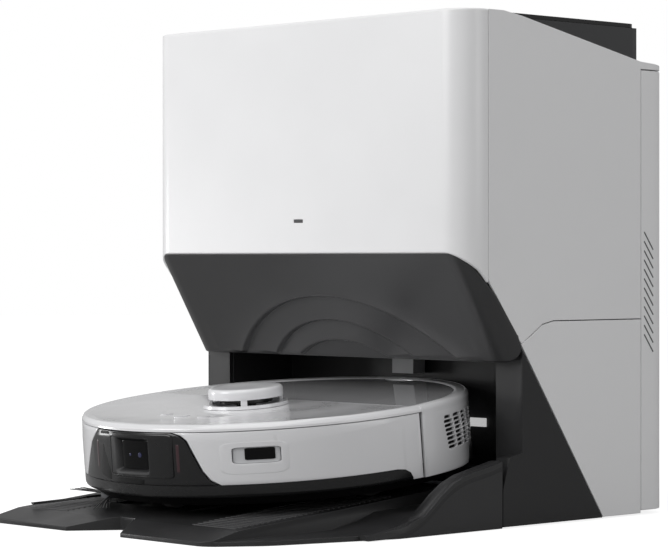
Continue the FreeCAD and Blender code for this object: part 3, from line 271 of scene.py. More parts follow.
# Tinted polycarbonate tank wall
SMOKE = Finish("smoked_polycarbonate", "2A2B2D", 0.16, 1.2, 0.004, 0.03, coat=0.4, alpha=0.93)
GLASS_BLACK = Finish(
    "black_window_glass", "040405", 0.06, 2.0, 0.001, 0.02, coat_roughness=0.02, specular=0.18
)
# Lens: dark blue glass with a faint blue glow, a painted glint of its coating
LENS_BLUE_GLINT = Finish(
    "lens_painted_glint", "070A24", 0.05, 2.0, 0.001, 0.02, coat=1.0, emission="1428A0", emission_strength=0.08
)
RED_FILTER = Finish("infrared_filter", "330C16", 0.22, 1.0, 0.002, 0.03, coat=0.6)
LAMP = Finish("frosted_lamp", "3A3A3C", 0.4, 0.8, 0.004, 0.02)
FROSTED = Finish(
    "frosted_white", "DEDFE1", 0.42, 0.8, 0.008, 0.02, emission="FFFFFF", emission_strength=0.42
)
STEEL = Finish("stainless_steel", "C9C6BE", 0.28, 0.3, 0.006, 0.03, metallic=1.0)
PAPER = Woven("bag_non_woven", "D8D4CA", 0.85, grain_depth_mm=0.12, mottle=0.06, thread_mm=1.6)
FIBRE = Woven("mop_fibre", "8C8F95", 0.95, grain_depth_mm=0.4, mottle=0.12, thread_mm=2.2)


class NodeFinish(Enum):
    """The finish of each carried-over node, by name."""

    WHITE = (
        WHITE_ABS,
        ("front_panel", "upper_shell", "lower_side_left", "lower_side_right", "rear_cover"),
    )
    LIDS = (WHITE_ABS, ("clean_tank_lid", "waste_tank_lid"))
    DARK_SHELLS = (
        CHARCOAL,
        ("side_skirt_left", "side_skirt_right", "ramp_base", "wash_tray", "power_inlet"),
    )
    LINING = (CHARCOAL, ("garage_shell",))
    GREY = (MOULDED_GREY, ("chassis_frame", "dust_duct", "fan_housing", "dustbin"))
    NOZZLE = (PALE_GREY, ("refill_nozzle",))
    METALWORK = (
        MOULDED_GREY,
        ("wheel_arm_left", "wheel_arm_right", "caster_fork", "brush_housing"),
    )
    HANDLES = (MOULDED_GREY, ("clean_tank_handle", "waste_tank_handle"))
    BOARD = (GREEN_BOARD, ("circuit_board",))
    TANKS = (SMOKE, ("clean_tank", "waste_tank"))
    RUBBERY = (
        RUBBER,
        ("rubber_feet", "drive_wheel_left", "drive_wheel_right", "caster_wheel", "wash_brush"),
    )
    ROLLERS = (ROLLER_RUBBER, ("main_brush_front", "main_brush_rear"))
    LAMPS = (LAMP, ("status_led",))
    STRIP = (FROSTED, ("beacon_strip",))
    CONTACTS = (STEEL, ("charge_contacts",))
    SOFT = (PAPER, ("dust_bag",))
    CLOTH = (FIBRE, ("mop_cloth",))
    BLACK = (
        SATIN_BLACK,
        ("bumper_band", "bumper_nose", "lidar_head", "fan_impeller", "fascia"),
    )
    UNDERSIDE = (
        DEEP_BLACK,
        ("robot_chassis", "brush_guard", "mop_plate", "battery", "side_brush"),
    )
    ROBOT = (
        WHITE_GLOSS,
        ("bumper_cover", "robot_rear_shell", "robot_top_shell", "turret_cap", "turret_base"),
    )
    KEYS = (WHITE_GLOSS, ("button_home", "button_power", "button_spot"))
    LID = (LACQUER, ("top_lid",))
    GLASS = (GLASS_BLACK, ("sensor_window", "side_window"))


# ------------------------------------------------------------------ mesh helpers


def new_object(name: str, mesh: bpy.types.Mesh, finish: Finish) -> bpy.types.Object:
    """Links a mesh as an object at the origin with one material.

    Args:
        name: the piece's name.
        mesh: its mesh.
        finish: its finish.

    Returns:
        The new object.
    """
    mesh.materials.clear()
    mesh.materials.append(finish.build())
    item = bpy.data.objects.new(name, mesh)
    bpy.context.scene.collection.objects.link(item)
    return item


def mesh_of(work: bmesh.types.BMesh, name: str, sharp_deg: float = CREASE_DEG) -> bpy.types.Mesh:
    """Closes a bmesh into a smooth-shaded mesh with sharp creases.

    Args:
        work: the bmesh, freed here.
        name: the mesh's name.
        sharp_deg: the crease angle above which an edge stays sharp.

    Returns:
        The mesh.
    """
    bmesh.ops.remove_doubles(work, verts=work.verts, dist=1e-6)
    bmesh.ops.recalc_face_normals(work, faces=work.faces)
    mesh = bpy.data.meshes.new(name)
    work.to_mesh(mesh)
    work.free()
    mesh.polygons.foreach_set("use_smooth", [True] * len(mesh.polygons))
    mesh.set_sharp_from_angle(angle=math.radians(sharp_deg))
    return mesh


def softened(item: bpy.types.Object, width_mm: float, segments: int = 2) -> bpy.types.Object:
    """Adds a small round to the hard edges.

    Args:
        item: the object.
        width_mm: the round's width.
        segments: its steps.

    Returns:
        The same object.
    """
    bevel = item.modifiers.new("edge_round", "BEVEL")
    bevel.width = width_mm * MM
    bevel.segments = segments
    bevel.limit_method = "ANGLE"
    bevel.angle_limit = math.radians(CREASE_DEG)
    bevel.harden_normals = True
    return item


def node_copy(node: str, finish: Finish, width_mm: float, name: str) -> bpy.types.Object:
    """Makes a merged copy of a carried-over node with rounded edges, to stand for it.

    Args:
        node: the node's name.
        finish: its finish.
        width_mm: the round's width.
        name: the new piece's name.

    Returns:
        The copy.
    """
    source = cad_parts[node]
    work = bmesh.new()
    work.from_mesh(source.data)
    bmesh.ops.remove_doubles(work, verts=work.verts, dist=2e-6)
    level = math.radians(0.6)
    flat = [e for e in work.edges if e.is_manifold and e.calc_face_angle(0.0) < level]
    bmesh.ops.dissolve_limit(work, angle_limit=level, verts=work.verts, edges=flat)
    mesh = bpy.data.meshes.new(name)
    work.to_mesh(mesh)
    work.free()
    mesh.polygons.foreach_set("use_smooth", [True] * len(mesh.polygons))
    mesh.set_sharp_from_angle(angle=math.radians(32))
    item = new_object(name, mesh, finish)
    softened(item, width_mm)
    return item


def arc(centre: Point, radius: float, start_deg: float, end_deg: float, steps: int) -> list[Point]:
    """Points along an arc.

    Args:
        centre: its centre.
        radius: its radius.
        start_deg: first angle.
        end_deg: last angle.
        steps: number of pieces.

    Returns:
        The points, both ends included.
    """
    turns = [math.radians(start_deg + (end_deg - start_deg) * i / steps) for i in range(steps + 1)]
    return [(centre[0] + radius * math.cos(a), centre[1] + radius * math.sin(a)) for a in turns]


def rounded_loop(corners: Sequence[Point], radius: float, steps: int = 5) -> list[Point]:
    """Rounds every corner of a polygon.

    Args:
        corners: the polygon.
        radius: the largest round.
        steps: pieces in each round.

    Returns:
        The rounded outline.
    """
    result: list[Point] = []
    count = len(corners)
    for i, corner in enumerate(corners):
        here = Vector(corner)
        before = Vector(corners[i - 1]) - here
        after = Vector(corners[(i + 1) % count]) - here
        reach = min(radius, before.length * 0.48, after.length * 0.48)
        first = here + before.normalized() * reach
        last = here + after.normalized() * reach
        for k in range(steps + 1):
            f = k / steps
            point = first * (1 - f) ** 2 + here * (2 * f * (1 - f)) + last * f**2
            result.append((point.x, point.y))
    return result


def box_loop(low: Point, high: Point, radius: float, steps: int = 5) -> list[Point]:
    """Outline of a rectangle with rounded corners.

    Args:
        low: its lower left corner.
        high: its upper right corner.
        radius: the round.
        steps: pieces in each round.

    Returns:
        The outline.
    """
    corners = [low, (high[0], low[1]), high, (low[0], high[1])]
    return rounded_loop(corners, radius, steps)


def dress(piece: bpy.types.Object, body: str, slot: str, *nodes: str) -> None:
    """Hangs a piece on its body and hides the nodes it stands for.

    Args:
        piece: the piece.
        body: the body it rides on.
        slot: its material slot, not used.
        nodes: the nodes it replaces, if any.
    """
    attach(piece, body)
    if nodes:
        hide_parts(*nodes)
    LOG.info("%s: on %s", piece.name, body)


def stand_in(node: str, finish: Finish, width_mm: float, body: str, slot: str) -> None:
    """Puts a copy with rounded edges in a node's place.

    Args:
        node: the node.
        finish: its finish.
        width_mm: the width of the round.
        body: the body it rides on.
        slot: its material slot.
    """
    dress(node_copy(node, finish, width_mm, node + "_shell"), body, slot, node)


def slab(
    name: str,
    outlines: Iterable[Sequence[Point]],
    thickness: float,
    place: Place,
    finish: Finish,
    slice_mm: float = 0.0,
    bevel_mm: float = 0.3,
) -> bpy.types.Object:
    """Makes a plate from flat outlines, with holes, and lays it on a surface.

    Args:
        name: the piece's name.
        outlines: closed outlines in millimetres; one inside another is a hole.
        thickness: the plate's thickness, below height zero.
        place: takes a flat point (x, y, height) in millimetres to its place in metres.
        finish: its finish.
        slice_mm: spacing of the cuts across x that let the plate bend.
        bevel_mm: the round of its edges.

    Returns:
        The new object.
    """
    curve = bpy.data.curves.new(name + "_outline", "CURVE")
    curve.dimensions = "2D"
    curve.fill_mode = "BOTH"
    curve.extrude = max(0.01, thickness / 2 - bevel_mm)
    curve.bevel_depth = bevel_mm
    curve.bevel_resolution = 1
    curve.offset = -bevel_mm
    for outline in outlines:
        spline = curve.splines.new("POLY")
        spline.points.add(len(outline) - 1)
        for target, (x, y) in zip(spline.points, outline):
            target.co = (x, y, 0, 1)
        spline.use_cyclic_u = True
    holder = bpy.data.objects.new(name + "_outline", curve)
    bpy.context.scene.collection.objects.link(holder)
    flat = bpy.data.meshes.new_from_object(holder.evaluated_get(bpy.context.evaluated_depsgraph_get()))
    bpy.data.objects.remove(holder)
    bpy.data.curves.remove(curve)
    work = bmesh.new()
    work.from_mesh(flat)
    bpy.data.meshes.remove(flat)
    bmesh.ops.remove_doubles(work, verts=work.verts, dist=1e-4)
    if slice_mm > 0:
        low = min(v.co.x for v in work.verts)
        high = max(v.co.x for v in work.verts)
        cuts = max(1, int((high - low) / slice_mm))
        for i in range(1, cuts):
            spot = low + (high - low) * i / cuts
            bmesh.ops.bisect_plane(
                work,
                geom=list(work.verts) + list(work.edges) + list(work.faces),
                dist=1e-5,
                plane_co=(spot, 0, 0),
                plane_no=(1, 0, 0),
            )
    for vert in work.verts:
        vert.co.z -= thickness / 2
        vert.co = place(vert.co.copy())
    return new_object(name, mesh_of(work, name), finish)


def lathe(
    name: str,
    profile: Callable[[float], Sequence[Point]] | Sequence[Point],
    place: Place,
    finish: Finish,
    start_deg: float = 0.0,
    sweep_deg: float = 360.0,
    steps: int = 144,
) -> bpy.types.Object:
    """Turns a closed profile of (radius, height) about a vertical axis.

    Args:
        name: the piece's name.
        profile: the profile, or a function that gives it at an angle.
        place: takes a local point in millimetres to its place in metres.
        finish: its finish.
        start_deg: first angle, measured from the front toward +X.
        sweep_deg: how far it turns.
        steps: number of sections.

    Returns:
        The new object.
    """
    work = bmesh.new()
    whole = sweep_deg >= 360
    rings: list[list[bmesh.types.BMVert]] = []
    for i in range(steps if whole else steps + 1):
        degrees = start_deg + sweep_deg * i / steps
        turn = math.radians(degrees)
        loop = profile(degrees) if callable(profile) else profile
        rings.append(
            [work.verts.new(place(Vector((r * math.sin(turn), -r * math.cos(turn), h)))) for r, h in loop]
        )
    pairs = list(zip(rings, rings[1:] + rings[:1] if whole else rings[1:]))
    for one, two in pairs:
        count = len(one)
        for k in range(count):
            n = (k + 1) % count
            work.faces.new((one[k], two[k], two[n], one[n]))
    if not whole:
        work.faces.new(rings[0])
        work.faces.new(list(reversed(rings[-1])))
    return new_object(name, mesh_of(work, name), finish)


def loft(
    name: str, loops: Sequence[Sequence[Vector]], finish: Finish, cap: bool = False
) -> bpy.types.Object:
    """Joins closed loops of equal length into one surface.

    Args:
        name: the piece's name.
        loops: the loops, in metres.
        finish: its finish.
        cap: whether to close the first and last loops.

    Returns:
        The new object.
    """
    work = bmesh.new()
    rings = [[work.verts.new(p) for p in loop] for loop in loops]
    for one, two in zip(rings, rings[1:]):
        for k in range(len(one)):
            n = (k + 1) % len(one)
            work.faces.new((one[k], one[n], two[n], two[k]))
    if cap:
        work.faces.new(list(reversed(rings[0])))
        work.faces.new(rings[-1])
    return new_object(name, mesh_of(work, name), finish)


# ------------------------------------------------------------------ repeats by geometry nodes


def repeat_tree(name: str, finish: Finish) -> bpy.types.NodeTree:
    """Builds a geometry-node tree that instances a source piece on the points of a guide mesh.

    Each point carries its turn about the source's own axes in the attribute "turn".

    Args:
        name: the tree's name.
        finish: the finish set on the result.

    Returns:
        The tree.
    """
    tree = bpy.data.node_groups.new(name, "GeometryNodeTree")
    tree.interface.new_socket("Geometry", in_out="INPUT", socket_type="NodeSocketGeometry")
    tree.interface.new_socket("Source", in_out="INPUT", socket_type="NodeSocketObject")
    tree.interface.new_socket("Scale", in_out="INPUT", socket_type="NodeSocketFloat")
    tree.interface.new_socket("Geometry", in_out="OUTPUT", socket_type="NodeSocketGeometry")
    given = add_node(tree, "NodeGroupInput")
    info = add_node(tree, "GeometryNodeObjectInfo", inputs={"Object": given.outputs["Source"]})
    vector = {"data_type": "FLOAT_VECTOR"}
    turn = add_node(tree, "GeometryNodeInputNamedAttribute", vector, {"Name": "turn"})
    points = add_node(tree, "GeometryNodeMeshToPoints", inputs={"Mesh": given.outputs["Geometry"]})
    copies = add_node(
        tree,
        "GeometryNodeInstanceOnPoints",
        inputs={
            "Points": points.outputs["Points"],
            "Instance": info.outputs["Geometry"],
            "Rotation": turn.outputs["Attribute"],
            "Scale": given.outputs["Scale"],
        },
    )
    real = add_node(tree, "GeometryNodeRealizeInstances", inputs={"Geometry": copies.outputs["Instances"]})
    dressed = add_node(
        tree,
        "GeometryNodeSetMaterial",
        inputs={"Geometry": real.outputs["Geometry"], "Material": finish.build()},
    )
    add_node(tree, "NodeGroupOutput", inputs={"Geometry": dressed.outputs["Geometry"]})
    return tree


def repeat(
    name: str, source: bpy.types.Object, spots: Sequence[Matrix], finish: Finish
) -> bpy.types.Object:
    """Repeats a small piece at each placement through geometry nodes, and makes it one mesh.

    Args:
        name: the new piece's name.
        source: the piece to repeat, drawn at the origin; it is removed here.
        spots: a placement for each copy, in metres.
        finish: the finish of the result.

    Returns:
        The new object.
    """
    guide = bpy.data.meshes.new(name + "_guide")
    guide.from_pydata([tuple(m.translation) for m in spots], [], [])
    turns = guide.attributes.new("turn", "FLOAT_VECTOR", "POINT")
    for i, matrix in enumerate(spots):
        turns.data[i].vector = matrix.to_euler()
    holder = bpy.data.objects.new(name + "_guide", guide)
    bpy.context.scene.collection.objects.link(holder)
    modifier = holder.modifiers.new("copies", "NODES")
    tree = repeat_tree(name + "_tree", finish)
    modifier.node_group = tree
    sockets = {s.name: s.identifier for s in tree.interface.items_tree if s.in_out == "INPUT"}
    modifier[sockets["Source"]] = source
    modifier[sockets["Scale"]] = 1.0
    evaluated = holder.evaluated_get(bpy.context.evaluated_depsgraph_get())
    mesh = bpy.data.meshes.new_from_object(evaluated)
    holder.modifiers.remove(modifier)
    bpy.data.objects.remove(holder)
    bpy.data.objects.remove(source)
    mesh.name = name
    mesh.polygons.foreach_set("use_smooth", [True] * len(mesh.polygons))
    mesh.set_sharp_from_angle(angle=math.radians(CREASE_DEG))
    item = bpy.data.objects.new(name, mesh)
    bpy.context.scene.collection.objects.link(item)
    return item


def block_mesh(name: str, length: float, width: float, height: float, round_mm: float) -> bpy.types.Object:
    """A small rounded bar centred at the origin, standing on height zero, for repeats.

    Args:
        name: its name.
        length: along X, in millimetres.
        width: along Y.
        height: along Z.
        round_mm: the round of its corners in plan.

    Returns:
        The new object.
    """
    a, b = length / 2, width / 2
    shoulder, top_length, top_width = 0.75, 0.9, 0.7
    outline = box_loop((-a, -b), (a, b), round_mm, 3)
    low = [Vector((x * MM, y * MM, 0)) for x, y in outline]
    mid = [Vector((x * MM, y * MM, height * shoulder * MM)) for x, y in outline]
    top = [Vector((x * MM * top_length, y * MM * top_width, height * MM)) for x, y in outline]
    return loft(name, [low, mid, top], SATIN_BLACK, cap=True)


# ------------------------------------------------------------------ stage, lamps and camera


@dataclass
class Studio:
    """Pale floor, soft lamps and the camera."""

    eye: tuple[float, float, float] = (1.812, -1.699, 0.2345)
    heading_deg: float = 46.4
    lens_mm: float = 144.95
    shift_up: float = -0.0293
    floor_radius: float = 9.0
    floor_drop: float = 0.0004
    floor_shade: float = 0.42
    floor_glow: float = 0.84
    calm_strength: float = 0.40
    mirror_strength: float = 0.42
    seen_strength: float = 1.0
    aim: tuple[float, float, float] = (0, -0.02, 0.2)

    def floor(self) -> None:
        """Lays a round pale floor that reads as white and keeps the shadow."""
        work = bmesh.new()
        bmesh.ops.create_circle(work, cap_ends=True, segments=96, radius=self.floor_radius)
        for vert in work.verts:
            vert.co.z = -self.floor_drop
        mesh = mesh_of(work, "studio_floor")
        material = bpy.data.materials.new("pale_studio_floor")
        material.use_nodes = True
        tree = material.node_tree
        tree.nodes.clear()
        path = add_node(tree, "ShaderNodeLightPath")
        shade = (self.floor_shade, self.floor_shade, self.floor_shade, 1)
        matt = add_node(tree, "ShaderNodeBsdfDiffuse", inputs={"Color": shade})
        lift = add_node(
            tree,
            "ShaderNodeMath",
            {"operation": "MULTIPLY"},
            {0: path.outputs["Is Camera Ray"], 1: self.floor_glow},
        )
        light = {"Color": (1, 1, 1, 1), "Strength": lift.outputs[0]}
        glow = add_node(tree, "ShaderNodeEmission", inputs=light)
        both = add_node(tree, "ShaderNodeAddShader", inputs={0: matt.outputs[0], 1: glow.outputs[0]})
        add_node(tree, "ShaderNodeOutputMaterial", inputs={"Surface": both.outputs[0]})
        mesh.materials.append(material)
        item = bpy.data.objects.new("studio_floor", mesh)
        bpy.context.scene.collection.objects.link(item)

    def world(self) -> None:
        """Sets a soft pale surround, white where it is seen or mirrored."""
        world = bpy.data.worlds.new("soft_surround")
        bpy.context.scene.world = world
        world.use_nodes = True
        tree = world.node_tree
        tree.nodes.clear()
        path = add_node(tree, "ShaderNodeLightPath")
        seen = add_node(
            tree,
            "ShaderNodeMath",
            {"operation": "MAXIMUM"},
            {0: path.outputs["Is Camera Ray"], 1: path.outputs["Is Transmission Ray"]},
        )
        calm, mirror, bright = (
            add_node(tree, "ShaderNodeBackground", inputs={"Color": (1, 1, 1, 1), "Strength": strength})
            for strength in (self.calm_strength, self.mirror_strength, self.seen_strength)
        )
        first = add_node(
            tree,
            "ShaderNodeMixShader",
            inputs={0: path.outputs["Is Glossy Ray"], 1: calm.outputs[0], 2: mirror.outputs[0]},
        )
        last = add_node(
            tree,
            "ShaderNodeMixShader",
            inputs={0: seen.outputs[0], 1: first.outputs[0], 2: bright.outputs[0]},
        )
        add_node(tree, "ShaderNodeOutputWorld", inputs={"Surface": last.outputs[0]})

    def lamp(self, name: str, spot: tuple[float, float, float], power: float, across: float) -> None:
        """Adds one soft square lamp aimed at the middle of the object.

        Args:
            name: its name.
            spot: where it stands.
            power: its power in watts.
            across: its side length.
        """
        data = bpy.data.lights.new(name, "AREA")
        data.energy = power
        data.size = across
        item = bpy.data.objects.new(name, data)
        item.location = spot
        aim = Vector(self.aim) - Vector(spot)
        item.rotation_euler = aim.to_track_quat("-Z", "Y").to_euler()
        bpy.context.scene.collection.objects.link(item)

    def lamps(self) -> None:
        """Stands a key lamp ahead and to the left, a top lamp, a right fill and a low left lamp."""
        self.lamp("key_lamp", (-1.0, -2.6, 1.5), 38.0, 1.5)
        self.lamp("top_lamp", (0.2, -0.9, 2.4), 18.0, 1.8)
        self.lamp("fill_lamp", (2.8, 0.4, 1.2), 10.0, 1.6)
        self.lamp("low_lamp", (-1.5, -0.7, 0.16), 4.5, 0.4)

    def camera(self) -> None:
        """Creates the camera."""
        data = bpy.data.cameras.new("view_camera")
        data.lens = self.lens_mm
        data.sensor_width = 36.0
        data.shift_y = self.shift_up
        data.clip_end = 50
        item = bpy.data.objects.new("view_camera", data)
        item.location = self.eye
        item.rotation_euler = Euler((math.radians(90), 0, math.radians(self.heading_deg)))
        bpy.context.scene.collection.objects.link(item)
        bpy.context.scene.camera = item

    def build(self) -> None:
        """Sets the whole studio."""
        self.floor()
        self.world()
        self.lamps()
        self.camera()
        bpy.context.scene.view_settings.view_transform = "Standard"


# ------------------------------------------------------------------ dock


@dataclass(frozen=True)
class Wave:
    """One crest of the pressed ripple: the centre and radius of its arc on the panel."""

    x: float
    down: float
    radius: float


@dataclass
class Dock:
    """The tower, its ramp, tanks and inner works."""

    front_y: float = -19.0
    half_width: float = 211.0
    fascia_head: float = 240.8
    fascia_foot: float = 146.5
    fascia_reach: float = 56.5
    ripple_depth: float = 5.0
    waves: tuple[Wave, ...] = (Wave(9, 233, 191.5), Wave(7, 196, 129), Wave(7, 200, 111))
    crest_fade: float = 18.0
    step_width: float = 3.2
    edge_line: tuple[Point, ...] = ((241.6, 0), (226, 20), (202, 42), (163, 71), (120, 98))
    slope_deg: float = 5.0
    raise_mm: float = 28.1
    forward: float = 22.1
    track_x: float = 113.0
    rib_count: int = 30
    rib_start: float = -200.0
    rib_pitch: float = 6.2
    rib_sink: float = 0.95
    wing_rise: float = 0.35
    vent_count: int = 12
    vent_depth: float = 246.5
    vent_foot: float = 158.0
    vent_pitch: float = 8.6
    vent_lean_deg: float = 52.0

    def panel_place(self, flat: Vector) -> Vector:
        """Takes a point of the sloping fascia (x, down the slope, outward) to its place.

        Args:
            flat: the point in millimetres.

        Returns:
            The place in metres.
        """
        run = self.fascia_reach
        drop = self.fascia_head - self.fascia_foot
        length = math.hypot(run, drop)
        y = self.front_y + 1.5 + flat.y * run / length - flat.z * drop / length
        z = self.fascia_head - flat.y * drop / length - flat.z * run / length
        return Vector((flat.x, y, z)) * MM

    def ripple_height(self, x: float, down: float) -> float:
        """Height of the pressed ripple at a point of the panel.

        Args:
            x: across.
            down: down the slope.

        Returns:
            How far the surface stands out, in millimetres.
        """
        gaps = [math.hypot(x - w.x, down - w.down) - w.radius for w in self.waves]
        if gaps[0] > 0:
            lift = math.exp(-gaps[0] / self.crest_fade)
            fall = 0.0
        elif gaps[1] > 0:
            lift = (-gaps[0] / (gaps[1] - gaps[0])) ** 1.3
            fall = -gaps[0]
        elif gaps[2] > 0:
            lift = (-gaps[1] / (gaps[2] - gaps[1])) ** 1.3
            fall = -gaps[1]
        else:
            lift = 0.0
            fall = -gaps[2]
        step = max(0.0, 1 - fall / self.step_width) if fall > 0 else 0.0
        return self.ripple_depth * max(lift, step * step * (3 - 2 * step))

    def side_line(self, height: float) -> float:
        """Depth of the white side's edge behind the front plane, at a height.

        Args:
            height: the height in millimetres.

        Returns:
            The depth in millimetres.
        """
        points = self.edge_line
        for (z_top, y_top), (z_low, y_low) in zip(points, points[1:]):
            if height >= z_low:
                return y_top + (y_low - y_top) * (z_top - height) / (z_top - z_low)
        return points[-1][1]

    def fascia(self) -> None:
        """Presses three concentric crests into the sloping panel and wraps its ends to the sides."""
        flat, turn_steps, rows = 300, 14, 132
        bend, corner = 25.0, 21.0
        end_fade, foot_fade = 12, 5
        hem_back = (1.2, 3.0, 4.8, 7.5)
        hem_drop = (0.5, 0.4, -0.4, -3.5)
        wide = self.half_width - 0.2 - bend
        slope = math.hypot(self.fascia_reach, self.fascia_head - self.fascia_foot) + 0.5
        arc_end = bend * math.radians(78)
        columns = [(-1, k / turn_steps) for k in range(turn_steps, 0, -1)]
        columns += [(0, -wide + 2 * wide * i / flat) for i in range(flat + 1)]
        columns += [(1, k / turn_steps) for k in range(1, turn_steps + 1)]
        work = bmesh.new()
        grid: list[list[bmesh.types.BMVert]] = []
        for j in range(rows + len(hem_back) + 1):
            line = []
            for side, t in columns:
                along = abs(t) if side == 0 else wide + arc_end * t
                excess = max(0.0, along - (wide + arc_end - corner))
                lift = corner - math.sqrt(max(0.0, corner**2 - excess**2))
                down = (slope - lift * 1.25) * min(1.0, j / rows)
                place = self.panel_place(Vector((0, down, 0))) / MM
                if side == 0:
                    edge = min(1.0, (wide - abs(t)) / end_fade, max(0.0, slope - down) / foot_fade)
                    rise = max(0.0, edge) * self.ripple_height(t, down)
                    spot = self.panel_place(Vector((t, down, rise))) / MM
                else:
                    gap = max(0.4, self.side_line(place.z - 1) - 0.6 - (place.y - self.front_y))
                    reach = math.acos(max(0.0, 1 - min(bend, gap) / bend)) * t
                    x = side * (wide + bend * math.sin(reach))
                    spot = Vector((x, place.y + bend * (1 - math.cos(reach)), place.z))
                if j > rows:
                    k = j - rows
                    share = 1 - min(1.0, excess / corner * 1.6)
                    back = hem_back[k - 1] * share
                    drop = hem_drop[k - 1] * share
                    spot = spot + Vector((-0.25 * k * (1 - share) * side, back, -drop))
                line.append(work.verts.new(spot * MM))
            grid.append(line)
        for j in range(len(grid) - 1):
            for i in range(len(columns) - 1):
                work.faces.new((grid[j][i], grid[j + 1][i], grid[j + 1][i + 1], grid[j][i + 1]))
        panel = new_object("fascia_panel", mesh_of(work, "fascia_panel", 50), FASCIA_PAINT)
        wall = panel.modifiers.new("wall", "SOLIDIFY")
        wall.thickness = 1.0 * MM
        wall.offset = -1
        dress(panel, "dock", "dark_gloss_fascia", "fascia")

    def shells(self) -> None:
        """Softens the edges of the tower's moulded shells."""
        wide, narrow = 0.8, 0.6
        stand_in("upper_shell", WHITE_ABS, wide, "dock", "white_gloss_shell")
        stand_in("lower_side_left", WHITE_ABS, narrow, "dock", "white_gloss_shell")
        stand_in("lower_side_right", WHITE_ABS, narrow, "dock", "white_gloss_shell")
        stand_in("rear_cover", WHITE_ABS, wide, "dock", "white_gloss_shell")
        stand_in("front_panel", WHITE_ABS, 0.6, "front_cover", "white_gloss_shell")
        for side in ("left", "right"):
            stand_in(f"side_skirt_{side}", CHARCOAL, 0.9, "dock", "charcoal_plastic")
        stand_in("garage_shell", CHARCOAL, 0.6, "dock", "charcoal_plastic")
        for tank in ("clean", "waste"):
            stand_in(f"{tank}_tank_lid", SATIN_BLACK, 0.5, f"{tank}_tank", "smoky_tank")
            stand_in(f"{tank}_tank_handle", MOULDED_GREY, 0.5, f"{tank}_handle", "grey_frame")

    def wheel_plane(self, distance: float) -> float:
        """Height of the wheels' plane at a distance behind the tower's front plane.

        Args:
            distance: the distance in millimetres.

        Returns:
            The height in millimetres.
        """
        return self.raise_mm + (distance + self.forward) * math.tan(math.radians(self.slope_deg))

    def ramp(self) -> None:
        """Gives the ramp rounded edges and rows of grip ribs on its tracks."""
        stand_in("ramp_base", TRACK, 1.6, "dock", "charcoal_plastic")
        spots: list[Matrix] = []
        tilt = Matrix.Rotation(math.radians(self.slope_deg), 4, "X")
        for side in (-1, 1):
            for i in range(self.rib_count):
                distance = self.rib_start + self.rib_pitch * i
                height = self.wheel_plane(distance) - self.rib_sink
                place = Vector((side * self.track_x, self.front_y + distance, height)) * MM
                spots.append(Matrix.Translation(place) @ tilt)
        rib = block_mesh("rib_source", 56, 2.6, 0.7, 1.1)
        # The ribs' lighter grey than the track is a painted highlight
        ribs = repeat("track_ribs", rib, spots, RIB_PAINTED_HIGHLIGHT)
        dress(ribs, "dock", "charcoal_plastic")

    def wings(self) -> None:
        """Runs a bevelled capping with a smooth line along the top of each side wall."""
        anchors = [
            (-116, 4.6), (-102, 5.0), (-70, 10.2), (-57, 14.8), (-46, 20.5), (-27.5, 34.2),
            (-14, 42.8), (2, 49.2), (18, 52.6), (34, 55.6), (47.6, 59.0),
        ]
        path: list[Point] = []
        for i in range(len(anchors) - 1):
            before = Vector(anchors[max(0, i - 1)])
            here, after = Vector(anchors[i]), Vector(anchors[i + 1])
            beyond = Vector(anchors[min(len(anchors) - 1, i + 2)])
            for k in range(8):
                t = k / 8
                spot = 0.5 * (
                    2 * here
                    + (after - before) * t
                    + (2 * before - 5 * here + 4 * after - beyond) * t**2
                    + (3 * here - before - 3 * after + beyond) * t**3
                )
                path.append((spot.x, spot.y + self.wing_rise))
        path.append(anchors[-1])
        for name, side in (("left", -1), ("right", 1)):
            w = self.half_width
            inner = [(w - 16.2, -7), (w - 16.2, -3.4), (w - 12.6, -0.2)]
            outer = [(w - 5.4, 0.3), (w - 4.6, 0.0), (w - 0.1, -4.6), (w + 0.05, -5.4), (w + 0.05, -9)]
            section = inner + outer
            loops = [
                [Vector((side * x, self.front_y + y, max(0.6, z + dz))) * MM for x, dz in section]
                for y, z in path
            ]
            cap = loft(f"wing_cap_{name}", loops, CHARCOAL, cap=True)
            dress(cap, "dock", "charcoal_plastic")

    def rear_vents(self) -> None:
        """Marks a row of slanted slots near each rear corner."""
        spots: list[Matrix] = []
        upright = Matrix.Rotation(math.radians(90), 4, "Z")
        for side in (-1, 1):
            outward = Matrix.Rotation(math.radians(90 * side), 4, "Y")
            lean = Matrix.Rotation(math.radians(-self.vent_lean_deg * side), 4, "Z")
            x = side * (self.half_width - 0.05)
            for i in range(self.vent_count):
                height = self.vent_foot + self.vent_pitch * i
                place = Vector((x, self.front_y + self.vent_depth, height)) * MM
                spots.append(Matrix.Translation(place) @ outward @ upright @ lean)
        slot = block_mesh("slot_source", 21, 1.4, 0.2, 0.65)
        vents = repeat("rear_corner_vents", slot, spots, SLOT_GREY)
        dress(vents, "dock", "charcoal_plastic")

    def bag(self) -> None:
        """Shapes the dust bag as a filled pouch with a crowned front."""
        low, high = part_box("dust_bag")
        centre = (low + high) / 2
        half = (high - low) / 2
        work = bmesh.new()
        bmesh.ops.create_cube(work, size=2.0)
        bmesh.ops.subdivide_edges(work, edges=work.edges, cuts=15, use_grid_fill=True)
        for vert in work.verts:
            x, y, z = vert.co
            puff = (1 - x * x) * (1 - z * z)
            pinch = 1 - 0.06 * (abs(z) ** 4) - 0.05 * (abs(y) ** 3)
            sag = 0.02 * math.sin(x * 9 + z * 4) * puff
            vert.co.x = centre.x + half.x * x * pinch * 0.97
            crown = 0.62 + 0.36 * math.sqrt(max(0.0, puff)) + sag
            vert.co.y = centre.y + half.y * y * crown
            vert.co.z = centre.z + half.z * z * (1 - 0.04 * abs(x) ** 4) * 0.97
        pouch = new_object("dust_pouch", mesh_of(work, "dust_pouch", 80), PAPER)
        smooth = pouch.modifiers.new("smooth", "SUBSURF")
        smooth.levels = 1
        smooth.render_levels = 1
        dress(pouch, "dock", "bag_fabric", "dust_bag")

